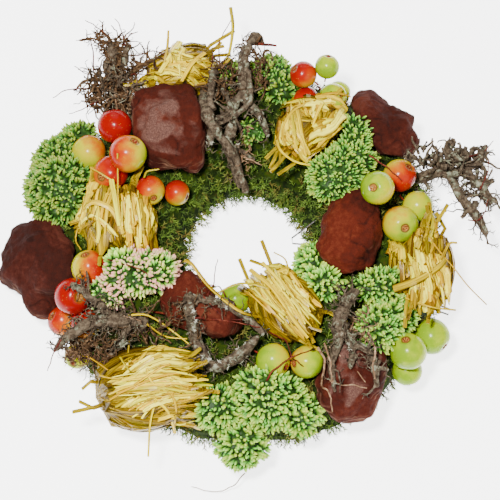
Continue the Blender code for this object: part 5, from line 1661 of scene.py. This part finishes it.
class WREATH_OT_twigs(bpy.types.Operator):
    """Makes the twigs with their spurs, roots and lichen, the old limbs, and loose roots and shoots"""

    bl_idname = "wreath.twigs"
    bl_label = "Twigs"

    def execute(self, context):
        looks = context.scene.wreath_looks
        noise.seed_set(NOISE_SEED)
        places = (0.28, 0.45, 0.6, 0.78)
        brown = zip(places, ("#160E08", "#3E2A18", "#6A5036", "#9C805E"))
        grey = zip(places, ("#18120C", "#403428", "#665846", "#94856E"))
        brown_wood = twig_finish("heather_wood", tuple(brown), 0.15)
        grey_wood = twig_finish("weathered_wood", tuple(grey), 0.36)
        crust = lichen_finish()
        wine = shoot_finish("young_shoot", ((0.3, "#2A0C08"), (0.5, "#551A12"), (0.7, "#7A3A24")))
        tan = shoot_finish("bared_root", ((0.3, "#4A3222"), (0.5, "#86664A"), (0.7, "#B49474")))
        woods = {"brown": brown_wood, "grey": grey_wood, "pale": tan}
        spur = twig_spur(brown_wood, looks.spur_length)
        root = rootlet(brown_wood, looks.spur_length * ROOT_LENGTH)
        tuft = lichen_tuft(crust, LICHEN_SIZE)
        for number, (wood, spacing, roots, lichen) in enumerate(TWIG_LOOKS, 1):
            node = f"twig_{number}"
            limbs = self.limbs_of(node, woods[wood])
            corners = limbs.data.vertices
            lit = [
                1.0 if v.normal.z > -0.1 and noise.noise(v.co / 0.012) > 0.35 - 0.5 * lichen else 0.0
                for v in corners]
            seed = looks.seed + number
            pieces = [limbs]
            for kind, unit, apart, room, tip in (
                    ("spurs", spur, spacing, 1.0, 0.9), ("roots", root, ROOT_SPACING, roots, 1.1)):
                pieces.append(covering(
                    f"{node}_{kind}", limbs.data, [room] * len(corners), woods[wood], unit=unit,
                    spacing=apart, density=SPUR_DENSITY, small=0.40, large=1.15, tip=tip, seed=seed))
            pieces.append(covering(
                node + "_lichen", limbs.data, lit, crust, unit=tuft, spacing=LICHEN_SPACING,
                density=LICHEN_DENSITY * lichen, small=0.5, large=1.2, tip=0.4, seed=seed))
            for piece in pieces:
                finished_if_any(piece, "twig", node)
        for unit in (spur, root, tuft):
            bpy.data.objects.remove(unit)
        self.tangles(looks, woods)
        self.old_limbs(grey_wood)
        everything = tree_of(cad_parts)
        for name, routes, finish in (("red_shoots", SHOOTS, wine), ("bared_roots", ROOTS, tan)):
            lines = []
            for thickness, *route in routes:
                line = smooth_line(draped(route, everything, thickness), 5)
                line = wandering(line, *SHOOT_BENDS)
                sizes = tapered(thickness / 2, 0.5, len(line))
                lines.append((line, [UP] * len(line), sizes, 0.5))
            finished(stems(name, lines, finish, 1.0, 6), "twig")
        return {"FINISHED"}

    def tangles(self, looks, woods):
        """The balls of fine roots and dead shoots on and round the twigs."""
        rng = random.Random(looks.seed)
        lines = {wood: [] for wood in woods}
        for angle, distance, height, half, count, length, thick, wood in TANGLES:
            middle = polar(angle, distance, height)
            for _ in range(count):
                places = tangle_line(middle, Vector(half), rng, length * rng.uniform(0.5, 1.3))
                sizes = tapered(thick * rng.choice((0.35, 0.5, 0.6, 0.8, 1.2)), 0.6, len(places))
                lines[wood].append((places, [UP] * len(places), sizes, 0.5))
        for wood, finish in woods.items():
            finished(stems(wood + "_roots", lines[wood], finish, TANGLE_RADIUS, 4), "twig")

    def old_limbs(self, finish):
        """The thick crooked limbs and stumps at the top of the wreath, swollen here and there."""
        lines = []
        for thickness, *route in LIMBS:
            line = smooth_line([stop_at(*stop) for stop in route], 8)
            line = wandering(line, *LIMB_BENDS)
            sizes = [
                size * (1 + lumps(p, LIMB_SWELLINGS))
                for size, p in zip(tapered(thickness / 2, 0.5, len(line)), line)]
            lines.append((line, [UP] * len(line), sizes, 0.5))
        piece = stems("old_limbs", lines, finish, 1.0, 14)
        for v in piece.data.vertices:
            v.co += v.normal * lumps(v.co, LIMB_LUMPS)
        finished(piece, "twig")

    def limbs_of(self, node, finish):
        """The limbs of a twig, rounded and made knobbly."""
        limbs = divided(whole_copy(node, node + "_limbs", finish), "CATMULL_CLARK")
        moved_to(limbs, [
            v.co + v.normal * (LIMB_SWELL + lumps(v.co, KNOBS)) for v in limbs.data.vertices])
        limbs.data.shade_smooth()
        return limbs


class WREATH_OT_studio(bpy.types.Operator):
    """Sets up the floor, the lights and the camera"""

    bl_idname = "wreath.studio"
    bl_label = "Studio"

    def execute(self, context):
        mesh = bpy.data.meshes.new("floor")
        signs = (-1, -1), (1, -1), (1, 1), (-1, 1)
        mesh.from_pydata([(x * FLOOR_HALF, y * FLOOR_HALF, 0) for x, y in signs], [], [(0, 1, 2, 3)])
        new_piece("floor", mesh, floor_finish())
        rise = math.radians(VIEW_RISE)
        camera = bpy.data.objects.new("camera", bpy.data.cameras.new("camera"))
        camera.location = VIEW_MIDDLE + Vector((0, -math.cos(rise), math.sin(rise))) * VIEW_DISTANCE
        camera.rotation_euler = (math.radians(90) - rise, 0, 0)
        camera.data.sensor_width = SENSOR
        camera.data.lens = SENSOR * VIEW_DISTANCE / VIEW_WIDTH
        camera.data.clip_end = 20
        context.scene.collection.objects.link(camera)
        context.scene.camera = camera
        for name, (place, power, width) in LAMPS.items():
            lamp = bpy.data.objects.new(name, bpy.data.lights.new(name, "AREA"))
            lamp.data.energy = power
            lamp.data.shape = "DISK"
            lamp.data.size = width
            lamp.location = place
            lamp.rotation_euler = (Vector(place) - LAMP_TARGET).to_track_quat("Z", "Y").to_euler()
            context.scene.collection.objects.link(lamp)
        world = bpy.data.worlds.new("studio")
        world.use_nodes = True
        world.node_tree.nodes["Background"].inputs["Color"].default_value = linear(SKY)
        world.node_tree.nodes["Background"].inputs["Strength"].default_value = SKY_STRENGTH
        context.scene.world = world
        return {"FINISHED"}


class WREATH_PT_panel(bpy.types.Panel):
    """The wreath's sizes, colours and steps"""

    bl_label = "Autumn wreath"
    bl_idname = "WREATH_PT_panel"
    bl_space_type = "VIEW_3D"
    bl_region_type = "UI"
    bl_category = "Wreath"

    def draw(self, context):
        looks = context.scene.wreath_looks
        for name in WreathLooks.__annotations__:
            self.layout.prop(looks, name)
        for step in STEPS:
            self.layout.operator(step.bl_idname)


STEPS = (WREATH_OT_ring, WREATH_OT_moss, WREATH_OT_bark, WREATH_OT_apples, WREATH_OT_sedum, WREATH_OT_straw,
         WREATH_OT_twigs, WREATH_OT_studio)


def register():
    for kind in (WreathLooks, *STEPS, WREATH_PT_panel):
        bpy.utils.register_class(kind)
    bpy.types.Scene.wreath_looks = PointerProperty(type=WreathLooks)


def unregister():
    del bpy.types.Scene.wreath_looks
    for kind in reversed((WreathLooks, *STEPS, WREATH_PT_panel)):
        bpy.utils.unregister_class(kind)


def main():
    register()
    bpy.ops.wreath.ring()
    bpy.ops.wreath.moss()
    bpy.ops.wreath.bark()
    bpy.ops.wreath.apples()
    bpy.ops.wreath.sedum()
    bpy.ops.wreath.straw()
    bpy.ops.wreath.twigs()
    bpy.ops.wreath.studio()
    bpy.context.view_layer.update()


if __name__ == "__main__":
    main()
